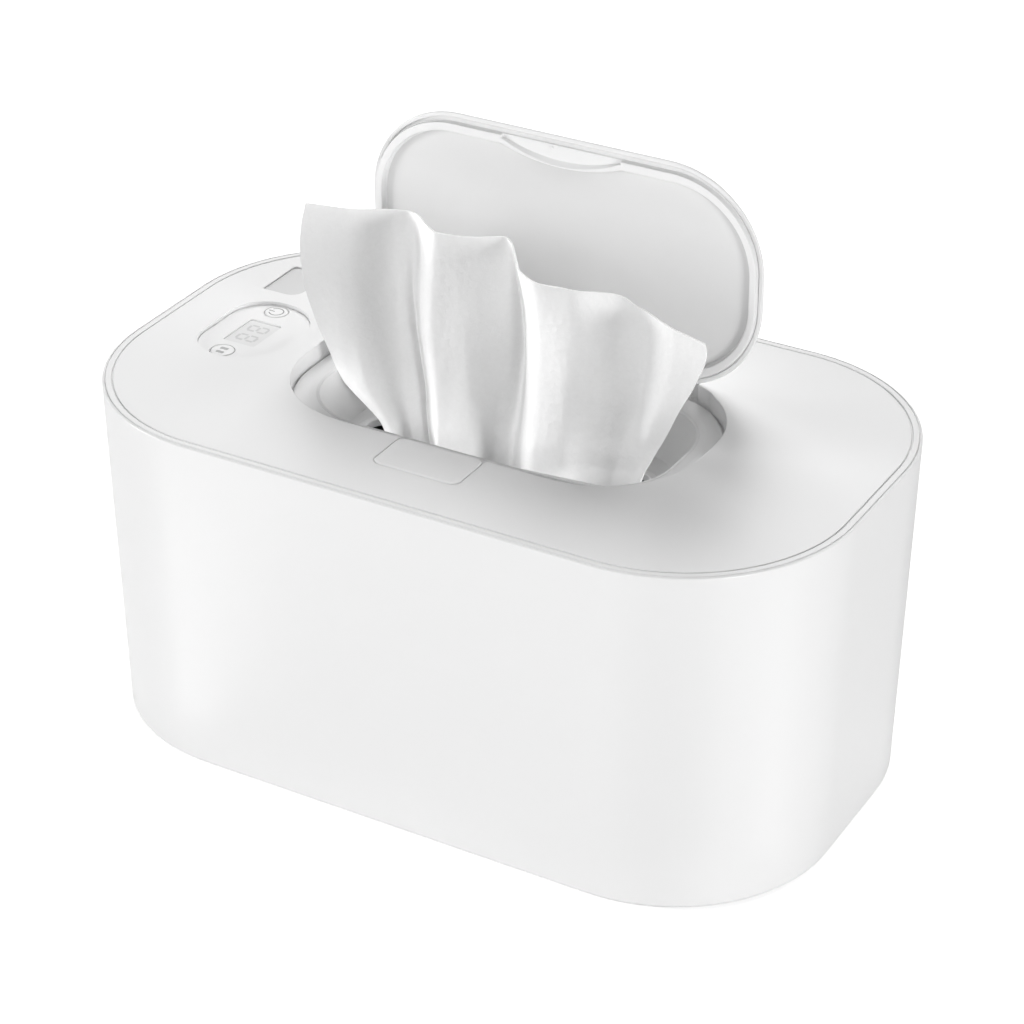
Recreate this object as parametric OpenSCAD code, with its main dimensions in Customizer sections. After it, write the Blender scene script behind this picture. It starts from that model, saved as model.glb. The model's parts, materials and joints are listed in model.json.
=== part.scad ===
// Baby wipe warmer: a heated tank in a tapered casing, a lift-off cover and a flip lid.
// Origin: centre of the footprint, on the plane that the feet stand on. X runs along the long side.

/* [Casing] */
// Width of the casing at its top edge
body_w = 221.4; // [216:0.2:240]
// Depth of the casing at its top edge
body_d = 132.4; // [129:0.2:140]
// Height of the casing from its bottom edge to the top face
body_h = 102.5; // [95:0.5:125]
// Corner radius of the casing in plan
corner_r = 50; // [40:0.5:56]
// How far the casing draws in from top to bottom, on each side
draft = 2.1; // [0.5:0.1:3.5]
// Wall thickness of the casing
shell_wall = 2.6; // [2:0.1:3]
// Thickness of the casing's lip beside the cover
lip_w = 0.7; // [0.5:0.05:0.9]
// Rounding of the casing's bottom edge
edge_r = 1.2; // [0.6:0.1:1.8]

/* [Base] */
// Thickness of the base plate
plate_t = 2.4; // [2:0.1:3]
// How far the feet hold the casing off the table
foot_stand = 1; // [0.6:0.1:3]
// Radius of a foot
foot_r = 7; // [5:0.5:9]
// Distance of the feet from the middle, along the long side
foot_x = 72; // [55:1:78]
// Distance of the feet from the middle, along the short side
foot_y = 36; // [28:1:40]
// Radius of the power inlet's mouth
inlet_r = 2.75; // [2.5:0.05:3.2]
// Distance of the power inlet from the middle, along the long side
inlet_x = -36; // [-50:1:-30]

/* [Heated tank] */
// Gap in plan from the casing's outline to the tank's outer wall
tank_in = 9; // [8.8:0.1:12]
// Wall thickness of the tank
tank_wall = 1.6; // [1.2:0.1:2]
// Height of the tank's underside above the table
tank_z = 26; // [24:0.5:30]
// Thickness of the heating film
film_t = 0.4; // [0.2:0.05:0.45]
// Lower edge of the heating film
film_z0 = 34; // [32:1:40]
// Upper edge of the heating film
film_z1 = 80; // [70:1:84]

/* [Cover] */
// Gap between the cover and the casing's lip
seam_gap = 0.2; // [0.15:0.05:0.3]
// Distance from the casing's outline to the groove round the top panel
groove_in = 2.65; // [2.4:0.05:3.2]
// Width of that groove
groove_w = 0.35; // [0.2:0.05:0.6]
// Thickness of the top panel
panel_t = 2.2; // [2:0.1:2.6]
// Width of the mouth under the lid
mouth_w = 121.6; // [119:0.2:124]
// Depth of the mouth under the lid, front to back
mouth_d = 66.7; // [65:0.1:69]
// Corner radius of the mouth
mouth_r = 28.7; // [24:0.1:30]
// Depth of the gutter round the mouth
gutter_deep = 4.9; // [4.8:0.1:5.6]
// Width of the gutter round the mouth
gutter_w = 6.9; // [6.5:0.1:8]
// Depth of the throat's floor below the top face
throat_deep = 18.5; // [16:0.5:22]
// How far the throat draws in from the gutter to its floor
throat_taper = 4.65; // [3:0.05:6]
// Length of the slot that the wipes come out of
slot_l = 84; // [82:1:90]
// Width of that slot
slot_w = 11; // [10.5:0.5:13]
// Turn of that slot in plan, so that its right end lies further back
slot_turn = 6; // [0:1:8]

/* [Lid] */
// Gap between the closed lid and the mouth's rim
lid_gap = 0.35; // [0.25:0.05:0.5]
// Height of the lid's outer wall
lid_h = 4; // [3.8:0.1:4.2]
// Thickness of the lid's outer wall
lid_wall = 1.8; // [1.6:0.05:2]
// Thickness of the lid's top skin
lid_skin = 1.6; // [1.3:0.1:1.8]
// Angle that the open lid makes with the top face
lid_open = 89; // [80:1:90]
// Depth of the hinge axis below the top face
hinge_deep = 1.5; // [1.5:0.05:1.8]
// Radius of the hinge pin
pin_r = 0.6; // [0.5:0.05:0.7]
// Radial clearance of the lid's knuckles on the pin
pin_gap = 0.05; // [0.03:0.01:0.08]

/* [Controls] */
// Distance of the control recess's centre from the casing's left end
recess_end = 30.7; // [29.7:0.1:31.7]
// Size of the control recess along the long side
recess_w = 32; // [30:0.5:33]
// Size of the control recess along the short side
recess_d = 36.6; // [36:0.1:38]
// Depth of the control recess
recess_deep = 0.9; // [0.5:0.1:1.1]
// Radius of a key
key_r = 3.75; // [3:0.05:4.2]
// Gap round a key
key_gap = 0.2; // [0.15:0.05:0.3]
// Distance of a key from the middle of the recess
key_y = 14.2; // [13.6:0.1:14.4]
// Travel of a key
key_travel = 0.4; // [0.2:0.05:0.45]
// Size of the display along the long side
display_w = 10.4; // [8:0.2:11]
// Size of the display along the short side
display_d = 14.4; // [12:0.2:15]
// Width of the release button
button_w = 30; // [27:0.5:32]
// Distance from the casing's front to the release button
button_end = 17.55; // [17:0.05:18.5]
// Travel of the release button
button_travel = 1; // [0.6:0.1:1.05]
// Travel of the latch that the button drives
latch_travel = 1.4; // [1.3:0.05:1.5]

/* [Wipe] */
// Thickness that the wipe is drawn with
wipe_t = 0.8; // [0.6:0.1:1]
// How far the wipe's upper left corner stands above the top face
wipe_rise = 43.5; // [38:0.5:48]
// Length of wipe that hangs below the slot
wipe_below = 8; // [4:0.5:9.5]

/* [Hidden] */
$fn = 48;

// Heights
shell_z = foot_stand;
top_z = shell_z + body_h;
plate_z = shell_z + 0.6;
plate_top = plate_z + plate_t;
foot_seat = 0.8;
foot_bevel = 0.4;
panel_z = top_z - panel_t;
frame_t = 1.8;
frame_z = panel_z - frame_t;
ledge_z = top_z - 7;
ledge_t = 3;
ledge_in = 6.2;
flange_z = ledge_z + 1.4;
throat_z = top_z - throat_deep;
gutter_lip = 0.5;
gutter_z = top_z - gutter_deep - 1.6;
tray_flange_t = 1.4;
tray_wall = 1.4;
tray_lip_z = top_z - gutter_deep + gutter_lip + 0.1;
tray_in = gutter_w + 0.05;
lips_rim = 3;

// Plan outlines and clearances
cover_in = lip_w + seam_gap;
lip_flat = 0.1;
panel_in = groove_in + groove_w;
skirt_in = 3.1;
frame_in = 14;
flange_in = 3.5;
foam_in = ledge_in - 0.7;
foam_reach = 4;
film_gap = 0.05;
part_gap = 0.2;
screw_gap = 0.05;
cover_screw_r = 1;
cover_screw_bite = 1.4;
small_screw_r = 0.8;
small_head_r = 1.6;
small_head_h = 1;
rim_wall = 3.2;
arc_steps = 5;

// Corner centres of the casing in plan
corner_x = body_w / 2 - corner_r;
corner_y = body_d / 2 - corner_r;

// Base screws stand on the diagonals of the corners
boss_out = corner_r - 10;
boss_r = 4.2;
boss_z1 = 18;
screw_r = 1.25;
head_r = 2.6;
head_h = 1.1;
base_screw_l = 9;
base_screw_z = plate_z + 1.2;
hole_gap = 0.3;

// Circuit board in the base
board_x = -36;
board_y = 15;
board_w = 60;
board_d = 78;
board_z = 8;
board_t = 1.6;
board_top = board_z + board_t;
board_hole_x = board_w / 2 - 5;
board_hole_y = board_d / 2 - 6;
wire_y = -11.5;
wire_z = tank_z - 6;
connector_half = 3;
chip = 14;
chip_h = 1.6;
coil_w = 8;
coil_d = 12;
coil_h = 8;
tall_can = [4, 9];
short_can = [3, 7];
can_step = 12;
connector_top = 14;
supply_x = board_x - 24;
board_boss_r = 3;
board_screw_r = 1;
inlet_z = board_top + 5.5;
inlet_front = body_d / 2 - 2.6;
inlet_wall = 1.4;
inlet_deep = 10;
inlet_rear = inlet_front - 13.4;
inlet_pin_r = 1;
vent_x = 30;
vent_step = 5;
vent_w = 2;
vent_l = 30;

// Parts on the front wall of the tank
tank_front = -(body_d / 2 - tank_in);
sensor_r = 1.2;
sensor_y = tank_front - film_gap - film_t - sensor_r - 0.05;
sensor_l = 5.6;
sensor_leg = 0.6;
fuse_half = 4.5;
fuse_lead_r = 0.4;
fuse_wire = 6;
window_half = 8;
tab_half = 4;
fuse_x = -40;
tab_x = -25;
sensor_x = -10;
sensor_z = 54;
wire_r = 0.5;
bend_swell = 0.03;
sensor_wire_r = 0.4;

// Electrical contacts at the left end
contact_in = 5.1;
end_screw_y = 12;
contact_x = -(body_w / 2 - contact_in);
contact_y = 3;
contact_end = contact_y + 4;
contact_block_h = 1.4;
pad_t = 0.9;
pad_end = 1.9;
ribbon_half = 2;
ribbon_t = 0.5;
lead_x = contact_x - 0.15;

// Control recess
recess_x = -(body_w / 2 - recess_end);
recess_r = recess_w / 2;
recess_z = top_z - recess_deep;
key_x = recess_x - 3.2;
display_x = recess_x - 2.1;
window_t = 0.8;
window_z = recess_z - 0.4 - window_t;
control_z = panel_z - 5.6;
control_t = 1.6;
control_w = 29;
control_d = 40;
control_boss_r = 2.2;
control_x = recess_x - 2;
switch_h = 1.4;
key_rim = 0.5;
stem_z = control_z + control_t + switch_h + key_travel + 0.05;

// Back left recess with its lens
lens_end = 22.45;
lens_side = 34.5;
lens_x = -(body_w / 2 - lens_end);
lens_y = body_d / 2 - lens_side;
lens_w = 11.5;
lens_d = 17;
lens_r = 4;
lens_deep = 1.1;
lens_t = 0.4;

// Hinge
hinge_y = mouth_d / 2 - lid_gap;
hinge_z = top_z - hinge_deep;
knuckle_r = hinge_deep - 0.05;
knuckle_x0 = 12;
knuckle_x1 = 24.5;
ear_w = 3.6;
ear_x = knuckle_x1 + 0.3 + ear_w / 2;
relief_half = 42;
relief_ease = 0.55;
ease_half = 48;
relief_y = hinge_y + hinge_deep + 0.35;
spring_half = 8;
notch_gap = 0.3;
notch_deep = 2;

// Lid
lid_w = mouth_w - 2 * lid_gap;
lid_d = mouth_d - 2 * lid_gap;
lid_r = mouth_r - lid_gap;
liner_t = 1.4;
liner_z = top_z - lid_skin - liner_t;
seal_in = lid_wall + 0.5;
seal_w = 2.9;
seal_z = tray_lip_z + 0.15;
pocket_half = 18;
pocket_bow = 2.5;
pocket_lip = 1.1;

// Release button and latch
button_d = (body_d - mouth_d) / 2 - button_end;
button_y = -(mouth_d / 2 + button_d / 2);
button_gap = 0.2;
button_proud = 0.15;
button_h = 4;
button_skin = 1.2;
button_wall = 1.2;
button_corner = 2.5;
housing_wall = 1.4;
housing_half = button_w / 2 + button_gap + housing_wall;
housing_front = button_y - button_d / 2 - button_gap - housing_wall;
housing_back = -(mouth_d / 2 + rim_wall);
slider_y0 = housing_front + housing_wall + latch_travel + 0.45;
housing_z = top_z - 8.2;
rim_cut_z = top_z - 3.3;
nose_z0 = top_z - 2.95;
nose_z1 = top_z - 2.2;
nose_tip = -(mouth_d / 2 - lid_gap) + 1.1;
nose_half = 4.5;
slider_half = 8.5;
slider_z0 = top_z - 6.4;
slider_z1 = top_z - 5;
slider_web = housing_back - 0.35;
leg_half = 3;
web_t = 1.3;
leg_y = slider_y0 + 2.4;
leg_w = 1.6;
leg_bend_z = slider_z1 + button_travel + 0.6;
leg_slope = latch_travel / button_travel;
slot_gap = 0.15;
retainer_t = 1.4;
retainer_z = housing_z - retainer_t;
button_spring_x = 11.4;
button_spring_y = button_y - 1;
spring_mean_r = 1.5;
spring_wire_r = 0.2;

// Colours
white = [0.94, 0.94, 0.935];
satin = [0.9, 0.9, 0.895];
grey = [0.72, 0.73, 0.74];
silicone = [0.84, 0.84, 0.83];
steel = [0.72, 0.72, 0.74];
board_green = [0.1, 0.36, 0.22];
foam_grey = [0.3, 0.31, 0.33];
near_black = [0.16, 0.16, 0.18];
brass = [0.85, 0.68, 0.3];

// Points of a circular arc in a profile
function arc_points(cx, cz, r, a0, a1) =
    [for (i = [0:arc_steps]) let (a = a0 + (a1 - a0) * i / arc_steps) [cx + r * cos(a), cz + r * sin(a)]];

// Inset of the casing's outer face at a height
function shell_inset(z) = draft * (top_z - z) / body_h;

// Point between two points
function between(a, b, t) = a + (b - a) * t;

// Smooth curve through evenly spaced points, t from 0 to 1
function curve_point(p, t) =
    let (n = len(p) - 1, s = min(t * n, n - 0.0001), i = floor(s), f = s - i,
        a = p[max(i - 1, 0)], b = p[i], c = p[i + 1], d = p[min(i + 2, n)])
    0.5 * (2 * b + (c - a) * f + (2 * a - 5 * b + 4 * c - d) * f * f + (3 * b - a - 3 * c + d) * f * f * f);

module rounded_rect(w, d, r) {
    square([w - 2 * r, d], center = true);
    square([w, d - 2 * r], center = true);
    for (sx = [-1, 1], sy = [-1, 1])
        translate([sx * (w / 2 - r), sy * (d / 2 - r)])
            circle(r);
}

// Straight block with a rounded rectangle as its plan
module slab(w, d, r, z0, z1) {
    translate([0, 0, z0])
        linear_extrude(z1 - z0)
            rounded_rect(w, d, r);
}

module body_slab(inset, z0, z1) {
    slab(body_w - 2 * inset, body_d - 2 * inset, corner_r - inset, z0, z1);
}

module mouth_slab(inset, z0, z1) {
    slab(mouth_w - 2 * inset, mouth_d - 2 * inset, mouth_r - inset, z0, z1);
}

module lid_slab(inset, z0, z1) {
    slab(lid_w - 2 * inset, lid_d - 2 * inset, lid_r - inset, z0, z1);
}

// Block whose side follows a profile of [inset, height] points all round a rounded rectangle
module profile_block(w, d, r, profile) {
    last = len(profile) - 1;
    wedge = concat([[0, profile[0][1]]], [for (p = profile) [r - p[0], p[1]]], [[0, profile[last][1]]]);
    across = concat([for (p = profile) [d / 2 - p[0], p[1]]],
        [for (i = [last:-1:0]) [profile[i][0] - d / 2, profile[i][1]]]);
    along = concat([for (p = profile) [w / 2 - p[0], p[1]]],
        [for (i = [last:-1:0]) [profile[i][0] - w / 2, profile[i][1]]]);
    for (sx = [-1, 1], sy = [-1, 1])
        translate([sx * (w / 2 - r), sy * (d / 2 - r), 0])
            rotate_extrude()
                polygon(wedge);
    rotate([90, 0, 90])
        linear_extrude(w - 2 * r, center = true)
            polygon(across);
    rotate([90, 0, 0])
        linear_extrude(d - 2 * r, center = true)
            polygon(along);
}

// Box given by its two corners
module box(low, high) {
    translate(low)
        cube(high - low);
}

// Round rod between two points
module rod(a, b, r) {
    run = b - a;
    flat = norm([run[0], run[1]]);
    translate(a)
        rotate([0, atan2(flat, run[2]), atan2(run[1], run[0])])
            cylinder(h = norm(run), r = r);
}

// Insulated wire along a list of points, rounded at its bends
module wire(points, r) {
    for (i = [0:len(points) - 2])
        rod(points[i], points[i + 1], r);
    for (i = [1:len(points) - 2])
        translate(points[i])
            sphere(r + bend_swell);
}

// Closed skin over rings of points, capped at both ends
module tube_skin(rings) {
    n = len(rings[0]);
    m = len(rings);
    points = [for (ring = rings, p = ring) p];
    sides = [for (i = [0:m - 2], j = [0:n - 1], half = [0, 1])
        let (k = (j + 1) % n)
        half == 0 ? [i * n + j, (i + 1) * n + j, (i + 1) * n + k] : [i * n + j, (i + 1) * n + k, i * n + k]];
    caps = concat([for (j = [1:n - 2]) [0, j, j + 1]],
        [for (j = [1:n - 2]) [(m - 1) * n, (m - 1) * n + j + 1, (m - 1) * n + j]]);
    polyhedron(points, concat(sides, caps));
}

// Coil spring along Z: eight rings a turn, six sides, and a closed turn at each end
module coil(mean_r, spring_wire, turns, length) {
    rings = [for (i = [0:8 * turns])
        let (a = 45 * i, z = spring_wire + (length - 2 * spring_wire) * i / (8 * turns))
        [for (j = [0:5])
            let (b = 60 * j, q = mean_r + spring_wire * cos(b))
            [q * cos(a), q * sin(a), z + spring_wire * sin(b)]]];
    echo(least_gap = (length - 2 * spring_wire) / turns - 2 * spring_wire);
    tube_skin(rings);
}

// Screw along Z with its head below, from the head's underside up
module screw(head_h, r, length, head) {
    translate([0, 0, -head_h])
        cylinder(h = head_h, r = head);
    cylinder(h = length, r = r);
}

// Puts something at each of the four corners' diagonals
module on_diagonals(out) {
    for (sx = [-1, 1], sy = [-1, 1])
        translate([sx * (corner_x + out * cos(45)), sy * (corner_y + out * sin(45)), 0])
            children();
}

// Puts something at four places set out about the middle
module on_rectangle(x, y) {
    for (sx = [-1, 1], sy = [-1, 1])
        translate([sx * x, sy * y, 0])
            children();
}

// Turns a closed lid's part about the hinge to where the open lid stands
module open_pose() {
    translate([0, hinge_y, hinge_z])
        rotate([-lid_open, 0, 0])
            translate([0, -hinge_y, -hinge_z])
                children();
}

module outer_shell() {
    side = concat(arc_points(shell_inset(shell_z) + edge_r, shell_z + edge_r, edge_r, 270, 180),
        arc_points(lip_w - lip_flat, top_z - 0.05 - lip_w + lip_flat, lip_w - lip_flat, 180, 90));
    inner_low = shell_inset(shell_z) + shell_wall;
    inner_high = shell_inset(ledge_z) + shell_wall;
    hollow = [[inner_low, shell_z - 1], [inner_low, plate_top + 1], [inner_high, ledge_z - ledge_t - 1],
        [ledge_in, ledge_z - ledge_t + 2], [ledge_in, ledge_z], [lip_w, ledge_z], [lip_w, top_z + 1]];
    color(white)
        difference() {
            union() {
                difference() {
                    profile_block(body_w, body_d, corner_r, side);
                    profile_block(body_w, body_d, corner_r, hollow);
                }
                on_diagonals(boss_out)
                    translate([0, 0, plate_top])
                        cylinder(h = boss_z1 - plate_top, r = boss_r);
                for (sx = [-1, 1], sy = [-1, 1])
                    translate([sx * corner_x, sy * corner_y, plate_top])
                        rotate([0, 0, atan2(sy, sx)])
                            box([boss_out + boss_r - 1, -1, 0],
                                [corner_r - draft - shell_wall / 2, 1, boss_z1 - plate_top - 2]);
            }
            on_diagonals(boss_out)
                translate([0, 0, plate_top - 1])
                    cylinder(h = base_screw_l + 3, r = screw_r + screw_gap);
            translate([inlet_x, body_d / 2 - 12, inlet_z])
                rotate([-90, 0, 0])
                    cylinder(h = 13, r = inlet_r + inlet_wall + 0.15);
            for (sy = [-1, 1])
                box([lead_x - 0.9, sy * contact_y - 1, ledge_z - ledge_t - 3],
                    [ledge_in + 0.1 - body_w / 2, sy * contact_y + 1, ledge_z + 1]);
        }
}

// Holes for the circuit board's screws
module board_hole_places() {
    translate([board_x, board_y, 0])
        on_rectangle(board_hole_x, board_hole_y)
            children();
}

module base_plate() {
    color(satin)
        difference() {
            union() {
                body_slab(shell_inset(shell_z) + shell_wall + part_gap, plate_z, plate_top);
                board_hole_places()
                    translate([0, 0, plate_top])
                        cylinder(h = board_z - plate_top, r = board_boss_r);
            }
            on_diagonals(boss_out) {
                translate([0, 0, plate_z - 1])
                    cylinder(h = plate_t + 2, r = screw_r + hole_gap);
                translate([0, 0, plate_z - 1])
                    cylinder(h = base_screw_z - plate_z + 1, r = head_r + hole_gap);
            }
            on_rectangle(foot_x, foot_y)
                translate([0, 0, plate_z - 1])
                    cylinder(h = foot_seat + 1, r = foot_r + part_gap);
            board_hole_places()
                translate([0, 0, plate_z + 1])
                    cylinder(h = board_z, r = board_screw_r + screw_gap);
            for (i = [0:6])
                translate([vent_x + vent_step * i, 0, plate_z - 1])
                    linear_extrude(plate_t + 2)
                        rounded_rect(vent_w, vent_l, vent_w / 2 - 0.01);
        }
}

module rubber_feet() {
    color([0.35, 0.35, 0.36])
        on_rectangle(foot_x, foot_y) {
            translate([0, 0, foot_bevel])
                cylinder(h = plate_z + foot_seat - foot_bevel, r = foot_r);
            cylinder(h = foot_bevel, r1 = foot_r - foot_bevel, r2 = foot_r);
        }
}

module base_screws() {
    color(steel)
        on_diagonals(boss_out)
            translate([0, 0, base_screw_z])
                difference() {
                    screw(head_h, screw_r, base_screw_l, head_r);
                    translate([0, 0, -2 * head_h])
                        linear_extrude(head_h + 0.6)
                            for (a = [0, 90])
                                rotate(a)
                                    square([head_r, 0.6], center = true);
                }
}

module inner_tank() {
    floor_r = 4;
    hollow = concat(arc_points(tank_in + tank_wall + floor_r, tank_z + tank_wall + floor_r, floor_r, 270, 180),
        [[tank_in + tank_wall, flange_z + 1]]);
    color(grey)
        difference() {
            union() {
                body_slab(tank_in, tank_z, flange_z);
                body_slab(flange_in, ledge_z, flange_z);
            }
            profile_block(body_w, body_d, corner_r, hollow);
            box([-body_w / 2, -contact_end - 1, ledge_z - 1],
                [tank_in - 1.2 - body_w / 2, contact_end + 1, flange_z + 1]);
        }
}

module heater_film() {
    film_in = tank_in - film_gap;
    color([0.78, 0.55, 0.2])
        difference() {
            union() {
                body_slab(film_in - film_t, film_z0, film_z1);
                box([tab_x - tab_half, tank_front - film_gap - film_t, tank_z - 1],
                    [tab_x + tab_half, 0, film_z0 + 1]);
            }
            body_slab(film_in, tank_z - 2, film_z1 + 1);
        }
}

module insulation_foam() {
    foam_z0 = film_z0 - foam_reach;
    foam_z1 = film_z1 + foam_reach;
    color(foam_grey)
        difference() {
            body_slab(foam_in, foam_z0, foam_z1);
            body_slab(tank_in - film_gap - film_t - 0.1, foam_z0 - 1, foam_z1 + 1);
            for (x = [fuse_x, sensor_x])
                box([x - window_half, -body_d, foam_z0 - 1], [x + window_half, 0, sensor_z + window_half]);
        }
}

module floor_insulation() {
    color(foam_grey)
        body_slab(tank_in + 3, tank_z - 3, tank_z);
}

module thermistor() {
    color(near_black)
        translate([sensor_x, sensor_y, sensor_z]) {
            cylinder(h = sensor_l, r = sensor_r);
            translate([0, 0, sensor_l])
                sphere(sensor_r);
        }
}

module thermal_fuse() {
    color(steel) {
        translate([fuse_x, sensor_y, sensor_z])
            rotate([0, 90, 0])
                cylinder(h = 2 * fuse_half, r = sensor_r, center = true);
        for (sx = [-1, 1])
            rod([fuse_x + sx * fuse_half, sensor_y, sensor_z],
                [fuse_x + sx * (fuse_wire + wire_r), sensor_y, sensor_z], fuse_lead_r);
    }
}

module power_board() {
    color(board_green)
        difference() {
            translate([board_x, board_y, board_z])
                linear_extrude(board_t)
                    rounded_rect(board_w, board_d, 2);
            board_hole_places()
                translate([0, 0, board_z - 1])
                    cylinder(h = board_t + 2, r = board_screw_r + hole_gap);
        }
}

module board_components() {
    color(near_black) {
        for (x = [supply_x, fuse_x, tab_x, sensor_x])
            box([x - connector_half, wire_y - connector_half, board_top],
                [x + connector_half, wire_y + connector_half, connector_top]);
        translate([board_x - chip / 2, board_y - chip / 2, board_top])
            cube([chip, chip, chip_h]);
        translate([board_x + board_w / 2 - coil_d, board_y, board_top])
            cube([coil_w, coil_d, coil_h]);
        for (can = [[1, tall_can], [0, short_can]])
            translate([board_x - board_w / 3, board_y + can[0] * can_step, board_top])
                cylinder(h = can[1][1], r = can[1][0]);
    }
}

module board_screws() {
    color(steel)
        board_hole_places()
            translate([0, 0, board_top])
                rotate([180, 0, 0])
                    screw(1.4, board_screw_r, board_top - plate_z - 1.5, 2);
}

module dc_inlet() {
    half = inlet_r + 1.75;
    color(near_black)
        difference() {
            union() {
                box([inlet_x - half, inlet_rear, board_top], [inlet_x + half, inlet_front - 3, inlet_z + 5]);
                translate([inlet_x, inlet_rear, inlet_z])
                    rotate([-90, 0, 0])
                        cylinder(h = inlet_front - inlet_rear, r = inlet_r + inlet_wall);
            }
            translate([inlet_x, inlet_front - inlet_deep, inlet_z])
                rotate([-90, 0, 0])
                    cylinder(h = inlet_deep + 1, r = inlet_r);
        }
    color(steel)
        translate([inlet_x, inlet_front - inlet_deep - 0.5, inlet_z])
            rotate([-90, 0, 0])
                cylinder(h = inlet_deep - 1, r = inlet_pin_r);
}

module wire_harness() {
    film_y = tank_front - film_gap - film_t / 2;
    color([0.75, 0.15, 0.12]) {
        for (side = [-1, 1])
            wire([[lead_x, side * contact_y, ledge_z], [lead_x, side * contact_y, wire_z],
                [supply_x + side * 1.2, side * contact_y, wire_z], [supply_x + side * 1.2, wire_y, wire_z],
                [supply_x + side * 1.2, wire_y, connector_top]], wire_r);
        for (side = [-1, 1])
            wire([[tab_x + side * 2, film_y, tank_z - 1], [tab_x + side * 2, film_y, wire_z],
                [tab_x + side * 2, wire_y, wire_z], [tab_x + side * 2, wire_y, connector_top]], wire_r);
        for (side = [-1, 1])
            wire([[sensor_x + side * sensor_leg, sensor_y, sensor_z],
                [sensor_x + side * sensor_leg, sensor_y, wire_z],
                [sensor_x + side * sensor_leg, wire_y, wire_z],
                [sensor_x + side * sensor_leg, wire_y, connector_top]], sensor_wire_r);
        for (side = [-1, 1])
            wire([[fuse_x + side * fuse_wire, sensor_y, sensor_z - fuse_lead_r],
                [fuse_x + side * fuse_wire, sensor_y, wire_z],
                [fuse_x + side * 2, wire_y, wire_z], [fuse_x + side * 2, wire_y, connector_top]], wire_r);
    }
}

module contact_block() {
    color(near_black)
        box([contact_x - 1.8, -contact_end, ledge_z],
            [contact_x + 1.7, contact_end, ledge_z + contact_block_h]);
}

module contact_pins() {
    color(brass)
        for (sy = [-1, 1])
            translate([contact_x, sy * contact_y, ledge_z + contact_block_h]) {
                cylinder(h = frame_z - pad_t - part_gap - ledge_z - contact_block_h, r = 0.75);
                cylinder(h = 0.5, r = 1.1);
            }
}

module cover_frame() {
    color(white)
        difference() {
            union() {
                body_slab(cover_in, frame_z, top_z);
                body_slab(cover_in, ledge_z + part_gap, frame_z);
            }
            body_slab(groove_in, panel_z, top_z + 1);
            body_slab(frame_in, frame_z - 1, top_z + 1);
            body_slab(skirt_in, ledge_z - 1, frame_z);
            cover_screw_places()
                translate([0, 0, frame_z - 1])
                    cylinder(h = frame_t + 2, r = cover_screw_r + hole_gap);
        }
}

// Six screws hold the frame to the panel from below
module cover_screw_places() {
    screw_in = frame_in - 3;
    for (sx = [-1, 1], sy = [-1, 1])
        translate([sx * corner_x, sy * (body_d / 2 - screw_in), 0])
            children();
    for (sx = [-1, 1])
        translate([sx * (body_w / 2 - screw_in), end_screw_y, 0])
            children();
}

module top_panel() {
    cove = [[gutter_w, gutter_z - 1], [gutter_w, top_z - gutter_deep + gutter_lip],
        [gutter_w - 2, top_z - gutter_deep + gutter_lip * 0.55],
        [gutter_w - 4, top_z - gutter_deep + gutter_lip * 0.2], [gutter_w - 5.8, top_z - gutter_deep],
        [0, top_z - gutter_deep], [0, top_z + 1]];
    color(satin)
        difference() {
            union() {
                body_slab(panel_in, panel_z, top_z);
                mouth_slab(-rim_wall, gutter_z, panel_z + 0.5);
                latch_housing();
                control_places()
                    translate([0, 0, control_z + control_t])
                        cylinder(h = panel_z + 0.5 - control_z - control_t, r = control_boss_r);
            }
            profile_block(mouth_w, mouth_d, mouth_r, cove);
            hinge_relief();
            button_cut();
            translate([recess_x, 0, recess_z])
                linear_extrude(2)
                    rounded_rect(recess_w, recess_d, recess_r - 0.01);
            for (sy = [-1, 1])
                translate([key_x, sy * key_y, panel_z - 1])
                    cylinder(h = panel_t + 2, r = key_r + key_gap);
            translate([display_x, 0, panel_z - 1])
                linear_extrude(panel_t + 2)
                    rounded_rect(display_w, display_d, 0.8);
            translate([lens_x, lens_y, top_z - lens_deep - lens_t])
                linear_extrude(3)
                    rounded_rect(lens_w, lens_d, lens_r);
            cover_screw_places()
                translate([0, 0, panel_z - 1])
                    cylinder(h = cover_screw_bite + 1.2, r = cover_screw_r + screw_gap);
            control_places()
                translate([0, 0, control_z])
                    cylinder(h = panel_z + 0.6 - control_z, r = small_screw_r + screw_gap);
            tray_screw_places()
                translate([0, 0, gutter_z - 1])
                    cylinder(h = 4, r = small_screw_r + screw_gap);
        }
    color(satin)
        hinge_ears();
}

// Places of the bosses that carry the display board
module control_places() {
    for (p = [[9, -16], [9, 16], [-13, 0]])
        translate([recess_x + p[0], p[1], 0])
            children();
}

// Cut at the back of the mouth that the lid's rear edge turns in, eased at the two back corners
module hinge_relief() {
    box([-relief_half, 0, top_z - gutter_deep], [relief_half, relief_y, top_z + 1]);
    intersection() {
        mouth_slab(-relief_ease, top_z - gutter_deep, top_z + 1);
        box([-ease_half, mouth_d / 4, top_z - gutter_deep], [ease_half, mouth_d, top_z + 1]);
    }
}

// Ears on the rim that carry the ends of the hinge pin
module hinge_ears() {
    for (sx = [-1, 1])
        difference() {
            union() {
                translate([sx * ear_x, hinge_y, hinge_z])
                    rotate([0, 90, 0])
                        cylinder(h = ear_w, r = knuckle_r, center = true);
                box([sx * ear_x - ear_w / 2, hinge_y - knuckle_r, top_z - gutter_deep - 0.4],
                    [sx * ear_x + ear_w / 2, relief_y + 0.2, hinge_z]);
            }
            translate([0, hinge_y, hinge_z])
                rotate([0, 90, 0])
                    cylinder(h = 3 * ear_x, r = pin_r + 0.02, center = true);
        }
}

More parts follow.
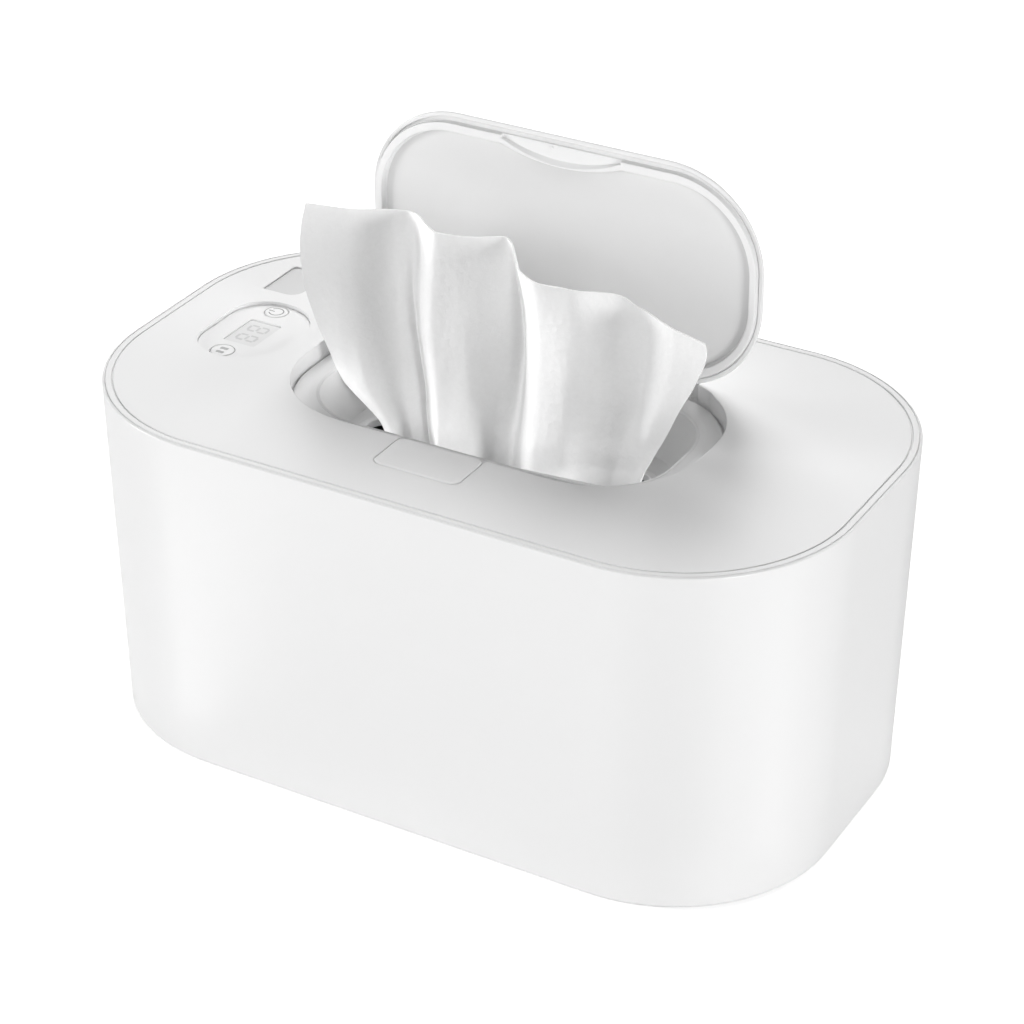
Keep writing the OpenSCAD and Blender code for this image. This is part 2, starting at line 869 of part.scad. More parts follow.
// Walls under the panel that guide the release button and its latch
module latch_housing() {
    difference() {
        box([-housing_half, housing_front, housing_z], [housing_half, housing_back, panel_z + 0.5]);
        box([housing_wall - housing_half, housing_front + housing_wall, housing_z - 1],
            [housing_half - housing_wall, housing_back + 1, panel_z + 1]);
    }
}

module button_cut() {
    translate([0, button_y + button_corner, rim_cut_z])
        linear_extrude(10)
            rounded_rect(button_w + 2 * button_gap, button_d + 2 * button_gap + 2 * button_corner,
                button_corner + button_gap);
}

module cover_screws() {
    color(steel)
        cover_screw_places()
            translate([0, 0, frame_z])
                screw(1.2, cover_screw_r, frame_t + cover_screw_bite, 2.2);
}

module cover_gasket() {
    color(silicone)
        difference() {
            body_slab(skirt_in + 0.6, flange_z + 0.3, frame_z);
            body_slab(skirt_in + 2.2, flange_z - 1, frame_z + 1);
            box([-body_w / 2, -contact_end - 2, flange_z - 1], [8 - body_w / 2, contact_end + 2, frame_z + 1]);
        }
}

module throat_tray() {
    floor_in = tray_in + tray_wall + throat_taper;
    outer = [[floor_in - tray_wall, throat_z - tray_wall], [tray_in, gutter_z - 0.1], [tray_in, tray_lip_z]];
    inner = [[floor_in, throat_z], [tray_in + tray_wall, top_z - gutter_deep],
        [tray_in + tray_wall, top_z]];
    color(white)
        difference() {
            union() {
                profile_block(mouth_w, mouth_d, mouth_r, outer);
                difference() {
                    mouth_slab(-rim_wall, gutter_z - tray_flange_t, gutter_z - 0.1);
                    box([-button_w, -mouth_d, gutter_z - 3], [button_w, slider_web + 0.5, gutter_z + 1]);
                }
            }
            profile_block(mouth_w, mouth_d, mouth_r, inner);
            translate([0, 0, throat_z - 4])
                rotate(slot_turn)
                    linear_extrude(6)
                        slot_outline(lips_rim);
            tray_screw_places()
                translate([0, 0, gutter_z - 3])
                    cylinder(h = 4, r = small_screw_r + part_gap);
        }
}

module tray_screw_places() {
    reach = mouth_r + rim_wall / 2;
    for (sx = [-1, 1], sy = [-1, 1])
        translate([sx * (mouth_w / 2 - mouth_r + reach * cos(45)),
            sy * (mouth_d / 2 - mouth_r + reach * sin(45)), 0])
            children();
}

module tray_screws() {
    color(steel)
        tray_screw_places()
            translate([0, 0, gutter_z - tray_flange_t])
                screw(small_head_h, small_screw_r, 4, small_head_r);
}

// Plan of the slot, grown all round
module slot_outline(grow) {
    rounded_rect(slot_l + 2 * grow, slot_w + 2 * grow, slot_w / 2 + grow - 0.01);
}

module slot_lips() {
    color(silicone)
        translate([0, 0, throat_z])
            rotate(slot_turn)
                difference() {
                    union() {
                        translate([0, 0, -tray_wall])
                            linear_extrude(tray_wall)
                                slot_outline(lips_rim - 0.05);
                        linear_extrude(0.8)
                            slot_outline(1.2);
                    }
                    translate([0, 0, -3])
                        linear_extrude(6)
                            slot_outline(0);
                }
}

module latch_retainer() {
    color(satin) {
        box([-housing_half, housing_front, retainer_z], [housing_half, slider_web - 0.5, housing_z]);
        for (sx = [-1, 1])
            box([sx * (slider_half - 1.5) - 1, slider_y0 - latch_travel, housing_z],
                [sx * (slider_half - 1.5) + 1, slider_web - 1.5, slider_z0 - 0.1]);
        for (sx = [-1, 1])
            translate([sx * button_spring_x, button_spring_y, housing_z])
                cylinder(h = 1.5, r = spring_mean_r - spring_wire_r - 0.4);
    }
}

module button_springs() {
    color(steel)
        for (sx = [-1, 1])
            translate([sx * button_spring_x, button_spring_y, housing_z + 0.05])
                coil(spring_mean_r, spring_wire_r, 6, top_z + button_proud - button_skin - housing_z - 0.1);
}

module hinge_pin() {
    color(steel)
        translate([0, hinge_y, hinge_z])
            rotate([0, 90, 0])
                cylinder(h = 2 * ear_x + ear_w, r = pin_r, center = true);
}

module lid_spring() {
    color(steel)
        translate([1 - spring_half, hinge_y, hinge_z])
            rotate([0, 90, 0])
                coil(pin_r + 2 * spring_wire_r, spring_wire_r, 14, 2 * spring_half - 2);
}

module night_light_lens() {
    color([0.78, 0.78, 0.79])
        translate([lens_x, lens_y, top_z - lens_deep - lens_t])
            linear_extrude(lens_t)
                rounded_rect(lens_w - 0.1, lens_d - 0.1, lens_r - 0.05);
}

module display_board() {
    color(board_green)
        difference() {
            translate([control_x, 0, control_z])
                linear_extrude(control_t)
                    rounded_rect(control_w, control_d, 2);
            control_places()
                translate([0, 0, control_z - 1])
                    cylinder(h = control_t + 2, r = small_screw_r + 0.15);
        }
}

module display_module() {
    digit_w = 4;
    digit_h = 7;
    bar = 0.8;
    face_z = window_z - 0.35;
    color([0.12, 0.12, 0.13])
        box([display_x - display_w / 2 + 0.4, -display_d / 2 + 0.4, control_z + control_t],
            [display_x + display_w / 2 - 0.4, display_d / 2 - 0.4, face_z]);
    color([0.9, 0.9, 0.9])
        for (sy = [-1, 1])
            translate([display_x, sy * 3.2, face_z]) {
                for (x = [-1, 0, 1])
                    translate([x * (digit_h - bar) / 2, 0, 0.1])
                        cube([bar, digit_w - 2 * bar, 0.2], center = true);
                for (x = [-1, 1], y = [-1, 1])
                    translate([x * digit_h / 4, y * (digit_w - bar) / 2, 0.1])
                        cube([digit_h / 2 - 1.3 * bar, bar, 0.2], center = true);
            }
}

module display_window() {
    color([0.92, 0.92, 0.92])
        translate([display_x, 0, window_z])
            linear_extrude(window_t)
                rounded_rect(display_w - 0.1, display_d - 0.1, 0.75);
}

module display_screws() {
    color(steel)
        control_places()
            translate([0, 0, control_z])
                screw(small_head_h, small_screw_r, control_t + 2.4, small_head_r);
}

module key_switches() {
    color([0.2, 0.2, 0.22])
        for (sy = [-1, 1])
            translate([key_x, sy * key_y, control_z + control_t]) {
                translate([0, 0, 0.6])
                    cube([5.2, 5.2, 1.2], center = true);
                cylinder(h = switch_h, r = 1.4);
            }
}

// Flat cable from the cover's contact pads to the display board
module display_leads() {
    board_end = control_x - control_w / 2 + 1;
    color([0.8, 0.8, 0.82]) {
        box([contact_x + pad_end, -ribbon_half, frame_z - pad_t],
            [board_end, ribbon_half, frame_z - pad_t + ribbon_t]);
        box([board_end - ribbon_t, -ribbon_half, control_z + control_t],
            [board_end, ribbon_half, frame_z - pad_t + 0.1]);
    }
}

module contact_pads() {
    color(brass)
        box([contact_x - 1.6, -contact_y - 2, frame_z - pad_t], [contact_x + pad_end, contact_y + 2, frame_z]);
}

module lid_shell() {
    side = concat([[0.5, top_z - lid_h], [0, top_z - lid_h + 0.5]],
        arc_points(1.2, top_z - 1.2, 1.2, 180, 90));
    color(white)
        open_pose()
            difference() {
                union() {
                    profile_block(lid_w, lid_d, lid_r, side);
                    for (sx = [-1, 1])
                        translate([sx * (knuckle_x0 + knuckle_x1) / 2, hinge_y, hinge_z])
                            rotate([0, 90, 0])
                                cylinder(h = knuckle_x1 - knuckle_x0, r = knuckle_r, center = true);
                }
                lid_slab(lid_wall, top_z - lid_h - 1, top_z - lid_skin);
                hinge_notches();
                translate([0, hinge_y, hinge_z])
                    rotate([0, 90, 0])
                        cylinder(h = 3 * ear_x, r = pin_r + pin_gap, center = true);
                box([-nose_half - 0.5, -lid_d, nose_z0 - 0.1],
                    [nose_half + 0.5, lid_wall - 0.3 - lid_d / 2, nose_z1 + 0.3]);
            }
}

module lid_liner() {
    color(satin)
        open_pose()
            difference() {
                lid_slab(lid_wall + 0.05, liner_z, top_z - lid_skin);
                hinge_notches();
            }
}

// Notches in the lid's rear edge for the two ears and the spring
module hinge_notches() {
    for (sx = [-1, 1])
        box([sx * ear_x - ear_w / 2 - notch_gap, hinge_y - notch_deep, top_z - 10],
            [sx * ear_x + ear_w / 2 + notch_gap, hinge_y + 5, top_z + 1]);
    box([-spring_half, hinge_y - notch_deep, top_z - 10], [spring_half, hinge_y + 5, top_z + 1]);
}

module lid_seal() {
    pocket_r = (pocket_half * pocket_half + pocket_bow * pocket_bow) / (2 * pocket_bow);
    pocket_y = -(lid_d / 2 - seal_in - seal_w) + pocket_bow - pocket_r;
    color(silicone)
        open_pose()
            difference() {
                union() {
                    difference() {
                        lid_slab(seal_in, seal_z, liner_z);
                        lid_slab(seal_in + seal_w, seal_z - 1, liner_z + 1);
                    }
                    intersection() {
                        lid_slab(seal_in, seal_z, liner_z);
                        translate([0, pocket_y, seal_z])
                            cylinder(h = liner_z - seal_z, r = pocket_r);
                    }
                }
                translate([0, pocket_y, seal_z - 1])
                    cylinder(h = 10, r = pocket_r - pocket_lip);
            }
}

module release_button() {
    half = button_w / 2;
    cap_z = top_z + button_proud - button_skin;
    color(satin) {
        difference() {
            translate([0, button_y, top_z - button_h])
                linear_extrude(button_h + button_proud)
                    rounded_rect(button_w, button_d, button_corner);
            box([button_wall - half, button_y - button_d / 2 + button_wall, top_z - button_h - 1],
                [half - button_wall, button_y + button_d, cap_z]);
            box([-half - 1, housing_back - 0.6, top_z - button_h - 1], [half + 1, 0, cap_z]);
        }
        translate([-leg_half, 0, 0])
            rotate([90, 0, 90])
                linear_extrude(2 * leg_half)
                    polygon(leg_profile(cap_z + 0.1));
    }
}

// Outline of the button's inclined leg: it runs back as it goes down, as the latch moves against it
function leg_profile(high) =
    let (low = slider_z0 - 0.5, run = (leg_bend_z - low) * leg_slope)
    [[leg_y, high], [leg_y, leg_bend_z], [leg_y + run, low], [leg_y + leg_w + run, low],
        [leg_y + leg_w, leg_bend_z], [leg_y + leg_w, high]];

module latch_slider() {
    low = slider_z0 - 1;
    high = slider_z1 + 0.6;
    front = leg_y - slot_gap;
    back = leg_y + leg_w + slot_gap;
    color([0.82, 0.82, 0.8])
        difference() {
            union() {
                box([-slider_half, slider_y0, slider_z0], [slider_half, slider_web, slider_z1]);
                box([-nose_half, slider_web - web_t, slider_z0], [nose_half, slider_web, nose_z1]);
                box([-nose_half, slider_web - web_t, nose_z0], [nose_half, nose_tip, nose_z1]);
            }
            translate([-leg_half - slot_gap, 0, 0])
                rotate([90, 0, 90])
                    linear_extrude(2 * (leg_half + slot_gap))
                        polygon([[front + (leg_bend_z - high) * leg_slope, high],
                            [front + (leg_bend_z - low) * leg_slope, low],
                            [back + (leg_bend_z - low) * leg_slope, low],
                            [back + (leg_bend_z - high) * leg_slope, high]]);
        }
}

// Key cap with a retaining flange and a stem over its switch
module key_cap(y) {
    color(white)
        translate([key_x, y, 0]) {
            translate([0, 0, panel_z - 0.15])
                cylinder(h = recess_z - panel_z + 0.25, r = key_r);
            translate([0, 0, panel_z - 0.75])
                cylinder(h = 0.6, r = key_r + key_gap + key_rim);
            translate([0, 0, stem_z])
                cylinder(h = panel_z - 0.7 - stem_z, r = 1.2);
        }
}

module power_key() {
    key_cap(key_y);
}

module mode_key() {
    key_cap(-key_y);
}

// Upper edge of the wipe from left to right, as offsets from the middle of the casing
wipe_edge = [[-62, -1, 0], [-48, 1, 0], [-36, 8, 0], [-31, 8, 0], [-24, 1, 0], [-17, 0, 0], [-7, 7, 0],
    [-2, 6, -0.5], [4, -2, -1.5], [11, -9, -3], [18, -10, -4], [30, -3, -5], [36, -3, -6], [48, -6, -8],
    [63, -8, -9]];
// Where the wipe passes through the slot
wipe_foot = [[-34, 0], [-28, 1], [-23, 3.4], [-20, 3.4], [-18, -3], [-12, -3.5], [-5, 2.8], [-1, 2.4],
    [1, -3.4], [8, -3.6], [14, 2.6], [20, 2.4], [25, -1.5], [32, -1.5], [39, 0]];
wipe_cols = 40;
wipe_rows = 13;
wipe_straight = 0.12;

// Point of the slot's own frame turned into the casing's
function in_slot(p) =
    [p[0] * cos(slot_turn) - p[1] * sin(slot_turn), p[0] * sin(slot_turn) + p[1] * cos(slot_turn)];

// Middle of the wipe: v is 0 at the foot and 1 at the upper edge, and the sides belly outwards
function wipe_point(u, v) =
    let (e = curve_point(wipe_edge, u), f = in_slot(curve_point(wipe_foot, u)),
        spread = v < wipe_straight ? 0 : sin(90 * pow((v - wipe_straight) / (1 - wipe_straight), 0.9)))
    [between(f[0], e[0], spread), between(f[1], e[1], pow(spread, 1.3)),
        between(throat_z - wipe_below, top_z + wipe_rise + e[2], v)];

// Step from the middle of the wipe to one of its faces
function wipe_offset(u, v) =
    let (run = wipe_point(min(u + 0.006, 1), v) - wipe_point(max(u - 0.006, 0), v))
    [-run[1], run[0], 0] * wipe_t / 2 / norm([run[0], run[1]]);

module wipe() {
    rings = [for (i = [0:wipe_cols])
        let (u = i / wipe_cols)
        concat([for (j = [0:wipe_rows]) wipe_point(u, j / wipe_rows) + wipe_offset(u, j / wipe_rows)],
            [for (j = [wipe_rows:-1:0]) wipe_point(u, j / wipe_rows) - wipe_offset(u, j / wipe_rows)])];
    color([0.95, 0.95, 0.95])
        strip_skin(rings);
}

// Closed skin over long thin rings, whose end caps are strips
module strip_skin(rings) {
    n = len(rings[0]);
    m = len(rings);
    h = n / 2;
    points = [for (ring = rings, p = ring) p];
    sides = [for (i = [0:m - 2], j = [0:n - 1], half = [0, 1])
        let (k = (j + 1) % n)
        half == 0 ? [i * n + j, (i + 1) * n + j, (i + 1) * n + k] : [i * n + j, (i + 1) * n + k, i * n + k]];
    caps = [for (e = [0, m - 1], j = [0:h - 2], half = [0, 1])
        let (a = e * n + j, b = e * n + j + 1, c = e * n + n - 2 - j, d = e * n + n - 1 - j,
            f = half == 0 ? [a, b, c] : [a, c, d])
        e == 0 ? f : [f[2], f[1], f[0]]];
    polyhedron(points, concat(sides, caps));
}

outer_shell();
base_plate();
rubber_feet();
base_screws();
inner_tank();
heater_film();
insulation_foam();
floor_insulation();
thermistor();
thermal_fuse();
power_board();
board_components();
board_screws();
dc_inlet();
wire_harness();
contact_block();
contact_pins();
cover_frame();
top_panel();
cover_screws();
cover_gasket();
throat_tray();
tray_screws();
slot_lips();
latch_retainer();
button_springs();
hinge_pin();
lid_spring();
night_light_lens();
display_board();
display_module();
display_window();
display_screws();
key_switches();
display_leads();
contact_pads();
wipe();
lid_shell();
lid_liner();
lid_seal();
release_button();
latch_slider();
power_key();
mode_key();
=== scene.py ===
"""Looks of a baby wipe warmer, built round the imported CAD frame.

Lengths are in millimetres until a mesh is made.
"""

import json
import math

import bmesh
import bpy
from mathutils import Matrix, Vector, noise
from mathutils.geometry import tessellate_polygon


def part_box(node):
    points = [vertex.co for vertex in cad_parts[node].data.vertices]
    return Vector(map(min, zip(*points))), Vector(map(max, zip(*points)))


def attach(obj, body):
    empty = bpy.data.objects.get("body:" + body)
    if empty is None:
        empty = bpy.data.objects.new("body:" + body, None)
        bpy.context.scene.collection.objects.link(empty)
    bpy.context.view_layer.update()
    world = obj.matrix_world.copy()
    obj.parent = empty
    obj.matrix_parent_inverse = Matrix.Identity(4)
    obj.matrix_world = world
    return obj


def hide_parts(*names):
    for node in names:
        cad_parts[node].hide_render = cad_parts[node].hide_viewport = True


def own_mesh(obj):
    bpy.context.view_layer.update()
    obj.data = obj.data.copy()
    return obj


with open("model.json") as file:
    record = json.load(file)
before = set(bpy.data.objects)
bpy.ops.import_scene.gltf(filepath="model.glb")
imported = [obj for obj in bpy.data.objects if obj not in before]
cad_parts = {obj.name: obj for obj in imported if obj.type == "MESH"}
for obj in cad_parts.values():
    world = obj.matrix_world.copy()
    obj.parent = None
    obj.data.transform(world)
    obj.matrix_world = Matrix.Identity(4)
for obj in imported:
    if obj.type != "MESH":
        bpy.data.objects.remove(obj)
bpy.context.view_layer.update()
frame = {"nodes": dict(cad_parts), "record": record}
MM = 0.001
ARC = 32


def node_box(node):
    """Lowest and highest corner of a CAD node."""
    low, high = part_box(node)
    return low / MM, high / MM


# Sizes that the frame gives
shell_low, shell_high = node_box("outer_shell")
body_w = shell_high.x - shell_low.x
body_d = shell_high.y - shell_low.y
shell_z = shell_low.z
top_z = node_box("top_panel")[1].z
button_low, button_high = node_box("release_button")
pin_low, pin_high = node_box("hinge_pin")
hinge_y = (pin_low.y + pin_high.y) / 2
hinge_z = (pin_low.z + pin_high.z) / 2
window_low, window_high = node_box("display_window")
lens_low, lens_high = node_box("night_light_lens")
power_low, power_high = node_box("power_key")
mode_low, mode_high = node_box("mode_key")
tray_low, tray_high = node_box("throat_tray")

# Sizes of the mouldings
corner_r = 50
draft = 2.1
shell_wall = 2.6
lip_w = 0.7
cover_in = 0.9
groove_in = 2.65
panel_in = 3.0
seam_deep = 0.45
touch = 0.02
panel_z = top_z - 2.2
frame_z = panel_z - 1.8
ledge_z = top_z - 7
mouth_w = 121.6
mouth_d = 66.7
mouth_r = 28.7
gutter_z = top_z - 4.9
under_gutter = gutter_z - 1.6
rim_foot = gutter_z - 1.1
rim_wall = 3.2
lid_gap = 0.35
lid_w = mouth_w - 2 * lid_gap
lid_d = mouth_d - 2 * lid_gap
lid_r = mouth_r - lid_gap
lid_open = 89
recess_left = -94.1
recess_right = -68
recess_half = 17.9
recess_z = top_z - 0.95
throat_z = tray_low.z + 1.4
slot_l = 84
slot_w = 11
slot_turn = 6
inlet_x = -36
inlet_z = 15.1
inlet_r = 4.3
inlet_deep = 14


# Outlines and solids
def rounded(corners, steps=8):
    """Closed outline through corners (x, y, radius), with an arc at each corner that has a radius."""
    out = []
    for i, (x, y, r) in enumerate(corners):
        here = Vector((x, y))
        if r <= 0:
            out.append(here)
            continue
        back = (Vector(corners[i - 1][:2]) - here).normalized()
        ahead = (Vector(corners[(i + 1) % len(corners)][:2]) - here).normalized()
        half = back.angle(ahead) / 2
        centre = here + (back + ahead).normalized() * r / math.sin(half)
        reach = r / math.tan(half)
        first = here + back * reach - centre
        last = here + ahead * reach - centre
        start = math.atan2(first.y, first.x)
        turn = (math.atan2(last.y, last.x) - start + math.pi) % (2 * math.pi) - math.pi
        for k in range(steps + 1):
            a = start + turn * k / steps
            out.append(centre + Vector((r * math.cos(a), r * math.sin(a))))
    return out


def rectangle(w, d, r, inset=0, centre=(0, 0), steps=ARC):
    """Rounded rectangle about a centre."""
    x, y, q = w / 2 - inset, d / 2 - inset, r - inset
    cx, cy = centre
    corners = [(cx + x, cy - y, q), (cx + x, cy + y, q), (cx - x, cy + y, q), (cx - x, cy - y, q)]
    return rounded(corners, steps)


def circle(x, y, r, steps=48):
    """Closed outline of a circle."""
    return [Vector((x + r * math.cos(2 * math.pi * k / steps), y + r * math.sin(2 * math.pi * k / steps)))
            for k in range(steps)]


def grown(loop, grow):
    """A loop moved outward by grow, with its corners mitred."""
    if grow == 0:
        return list(loop)
    n = len(loop)
    area = sum(loop[i - 1].x * loop[i].y - loop[i].x * loop[i - 1].y for i in range(n))
    side = 1 if area > 0 else -1
    out = []
    for i in range(n):
        a = (loop[i] - loop[i - 1]).normalized()
        b = (loop[(i + 1) % n] - loop[i]).normalized()
        mid = (a + b).normalized()
        out.append(loop[i] + Vector((mid.y, -mid.x)) * side * grow / max(mid.dot(a), 0.3))
    return out


def softened(points, steps=5):
    """Open chain of (grow, z, radius), with an arc at each inner point that has a radius."""
    out = [points[0][:2]]
    for i in range(1, len(points) - 1):
        if points[i][2] <= 0:
            out.append(points[i][:2])
            continue
        ring = rounded([(*points[i - 1][:2], 0), points[i], (*points[i + 1][:2], 0)], steps)
        out += [tuple(p) for p in ring[1:-1]]
    out.append(points[-1][:2])
    return out


class Solid:
    """Mesh put together from walls that follow a loop and flat caps between loops."""

    def __init__(self):
        self.verts = []
        self.faces = []

    def wall(self, loop, profile, closed=False):
        """Strips along a loop: profile holds (grow, z)."""
        n = len(loop)
        base = len(self.verts)
        for grow, z in profile:
            self.verts += [(p.x, p.y, z) for p in grown(loop, grow)]
        rows = len(profile)
        for i in range(rows if closed else rows - 1):
            for j in range(n):
                k = (j + 1) % n
                low, high = base + i * n, base + (i + 1) % rows * n
                self.faces.append((low + j, low + k, high + k, high + j))
        return self

    def cap(self, z, *loops):
        """Flat face between the first loop and the holes in it."""
        base = len(self.verts)
        flat = [p for loop in loops for p in loop]
        self.verts += [(p.x, p.y, z) for p in flat]
        for t in tessellate_polygon([[p.to_3d() for p in loop] for loop in loops]):
            self.faces.append(tuple(base + i for i in t))
        return self

    def block(self, loop, z0, z1, edge=0.0, foot=0.0):
        """Upright block with a rounded upper and lower edge."""
        profile = softened([(-edge, z1, 0), (0, z1, edge), (0, z0, foot), (-foot, z0, 0)], 4)
        return self.wall(loop, profile).cap(z1, grown(loop, -edge)).cap(z0, grown(loop, -foot))

    def along_x(self, section, x0, x1):
        """Block along X with its section given as (y, z)."""
        base = len(self.verts)
        n = len(section)
        self.verts += [(x, y, z) for x in (x0, x1) for y, z in section]
        self.faces += [(base + i, base + (i + 1) % n, base + n + (i + 1) % n, base + n + i) for i in range(n)]
        for t in tessellate_polygon([[Vector((y, z, 0)) for y, z in section]]):
            self.faces.append(tuple(base + i for i in t))
            self.faces.append(tuple(base + n + i for i in t))
        return self


def add(name, solid, finish, body, replaces=(), turn=None, sharp=35):
    """Mesh object from a solid, with clean normals, that rides on a body."""
    mesh = bpy.data.meshes.new(name)
    mesh.from_pydata([Vector(v) * MM for v in solid.verts], [], solid.faces)
    work = bmesh.new()
    work.from_mesh(mesh)
    bmesh.ops.remove_doubles(work, verts=work.verts, dist=2e-6)
    bmesh.ops.dissolve_degenerate(work, edges=work.edges, dist=1e-7)
    bmesh.ops.recalc_face_normals(work, faces=work.faces)
    work.to_mesh(mesh)
    work.free()
    if turn:
        mesh.transform(turn)
    mesh.shade_smooth()
    mesh.set_sharp_from_angle(angle=math.radians(sharp))
    piece = bpy.data.objects.new(name, mesh)
    bpy.context.scene.collection.objects.link(piece)
    even = piece.modifiers.new("Even normals", "WEIGHTED_NORMAL")
    even.keep_sharp = True
    mesh.materials.append(finish)
    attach(piece, body)
    if replaces:
        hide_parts(*replaces)
    return piece


def cut(piece, solid):
    """Takes a solid out of a piece."""
    mesh = bpy.data.meshes.new("cutter")
    mesh.from_pydata([Vector(v) * MM for v in solid.verts], [], solid.faces)
    work = bmesh.new()
    work.from_mesh(mesh)
    bmesh.ops.remove_doubles(work, verts=work.verts, dist=2e-6)
    bmesh.ops.recalc_face_normals(work, faces=work.faces)
    work.to_mesh(mesh)
    work.free()
    cutter = bpy.data.objects.new("cutter", mesh)
    bpy.context.scene.collection.objects.link(cutter)
    step = piece.modifiers.new("Cut", "BOOLEAN")
    step.operation = "DIFFERENCE"
    step.solver = "EXACT"
    step.object = cutter
    piece.modifiers.move(len(piece.modifiers) - 1, 0)
    even = piece.modifiers["Even normals"]
    even.show_viewport = False
    bpy.context.view_layer.update()
    done = bpy.data.meshes.new_from_object(piece.evaluated_get(bpy.context.evaluated_depsgraph_get()))
    even.show_viewport = True
    piece.modifiers.remove(step)
    old = piece.data
    piece.data = done
    bpy.data.meshes.remove(old)
    bpy.data.objects.remove(cutter)
    done.set_sharp_from_angle(angle=math.radians(35))


# Materials
def material(name):
    """New material with its nodes, links and shader."""
    made = bpy.data.materials.new(name)
    made.use_nodes = True
    nodes = made.node_tree.nodes
    return made, nodes, made.node_tree.links, nodes["Principled BSDF"]


def place(nodes, kind, **values):
    """Adds a shader node and sets its properties and inputs."""
    made = nodes.new(kind)
    for key, value in values.items():
        if key in made.inputs:
            made.inputs[key].default_value = value
        else:
            setattr(made, key, value)
    return made


def moulded(name, colour, roughness, grain=900, relief=0.05, spread=0.02, metal=0.0, edge=0.0, soft=0.0):
    """Moulded surface: fine grain in its relief, slow variation of its colour and sheen, and eased edges."""
    made, nodes, links, shader = material(name)
    shader.inputs["Metallic"].default_value = metal
    shader.inputs["IOR"].default_value = 1.46
    shader.inputs["Subsurface Weight"].default_value = soft
    shader.inputs["Subsurface Scale"].default_value = 0.001
    shader.inputs["Subsurface Radius"].default_value = (1, 1, 1)
    where = nodes.new("ShaderNodeTexCoord")
    slow = place(nodes, "ShaderNodeTexNoise", Scale=14.0, Detail=3.0)
    tint = nodes.new("ShaderNodeMix")
    tint.data_type = "RGBA"
    tint.inputs["A"].default_value = (*[c * (1 - spread) for c in colour], 1)
    tint.inputs["B"].default_value = (*[min(1.0, c * (1 + spread)) for c in colour], 1)
    gloss = place(nodes, "ShaderNodeMapRange")
    gloss.inputs["To Min"].default_value = roughness * 0.88
    gloss.inputs["To Max"].default_value = min(1.0, roughness * 1.12)
    fine = place(nodes, "ShaderNodeTexNoise", Scale=float(grain), Detail=2.0)
    bump = place(nodes, "ShaderNodeBump", Strength=relief, Distance=0.0003)
    links.new(where.outputs["Object"], slow.inputs["Vector"])
    links.new(where.outputs["Object"], fine.inputs["Vector"])
    links.new(slow.outputs["Fac"], tint.inputs["Factor"])
    links.new(tint.outputs["Result"], shader.inputs["Base Color"])
    links.new(slow.outputs["Fac"], gloss.inputs["Value"])
    links.new(gloss.outputs["Result"], shader.inputs["Roughness"])
    links.new(fine.outputs["Fac"], bump.inputs["Height"])
    links.new(bump.outputs["Normal"], shader.inputs["Normal"])
    if edge:
        ease = place(nodes, "ShaderNodeBevel", Radius=edge * MM)
        ease.samples = 4
        links.new(ease.outputs["Normal"], bump.inputs["Normal"])
    return made


def cloth(name):
    """Non-woven wipe: embossed dimples over a tangle of fine fibres."""
    made, nodes, links, shader = material(name)
    shader.inputs["Roughness"].default_value = 0.9
    shader.inputs["Sheen Weight"].default_value = 0.15
    shader.inputs["Sheen Roughness"].default_value = 0.6
    where = nodes.new("ShaderNodeTexCoord")
    fibre = place(nodes, "ShaderNodeTexNoise", Scale=700.0, Detail=4.0, Roughness=0.6, Distortion=0.8)
    cell = place(nodes, "ShaderNodeTexVoronoi", Scale=420.0)
    both = place(nodes, "ShaderNodeMath", operation="ADD")
    tint = nodes.new("ShaderNodeMix")
    tint.data_type = "RGBA"
    tint.inputs["A"].default_value = (0.77, 0.77, 0.77, 1)
    tint.inputs["B"].default_value = (0.835, 0.835, 0.835, 1)
    bump = place(nodes, "ShaderNodeBump", Strength=0.25, Distance=0.0004)
    for texture in (fibre, cell):
        links.new(where.outputs["Object"], texture.inputs["Vector"])
    links.new(fibre.outputs["Fac"], both.inputs[0])
    links.new(cell.outputs["Distance"], both.inputs[1])
    links.new(both.outputs["Value"], bump.inputs["Height"])
    links.new(fibre.outputs["Fac"], tint.inputs["Factor"])
    links.new(tint.outputs["Result"], shader.inputs["Base Color"])
    links.new(bump.outputs["Normal"], shader.inputs["Normal"])
    return made


gloss_white = moulded("gloss_white", (0.87, 0.87, 0.87), 0.3, relief=0.02, spread=0.006)
satin_white = moulded("satin_white", (0.86, 0.86, 0.86), 0.42, relief=0.04, spread=0.006)
tray_white = moulded("tray_white", (0.8, 0.8, 0.8), 0.5, relief=0.04, spread=0.01)
lid_white = moulded("lid_white", (0.86, 0.86, 0.86), 0.36, relief=0.03, spread=0.006)
# Lid liner: white plastic darkened to 0.65 as painted shade for the recessed panel under the seal, which the
# shadowless Lid_fill lamp then lights evenly
liner_white_painted_shade = moulded("liner_white_painted_shade", (0.65, 0.65, 0.65), 0.5, relief=0.05, spread=0.01)
silicone = moulded("silicone", (0.87, 0.87, 0.87), 0.48, relief=0.05, spread=0.015, soft=0.05)
key_white = moulded("key_white", (0.86, 0.86, 0.86), 0.38, relief=0.03, spread=0.006)
print_grey = moulded("print_grey", (0.33, 0.33, 0.33), 0.6, relief=0.05, spread=0.04)
mark_grey = moulded("mark_grey", (0.5, 0.5, 0.5), 0.6, relief=0.05, spread=0.04)
digit_grey = moulded("digit_grey", (0.64, 0.64, 0.64), 0.5, relief=0.02, spread=0.03)
window_white = moulded("window_white", (0.8, 0.8, 0.8), 0.45, relief=0.01, spread=0.008)
lens_grey = moulded("lens_grey", (0.6, 0.6, 0.6), 0.4, relief=0.06, spread=0.02)
wipe_cloth = cloth("wipe_cloth")

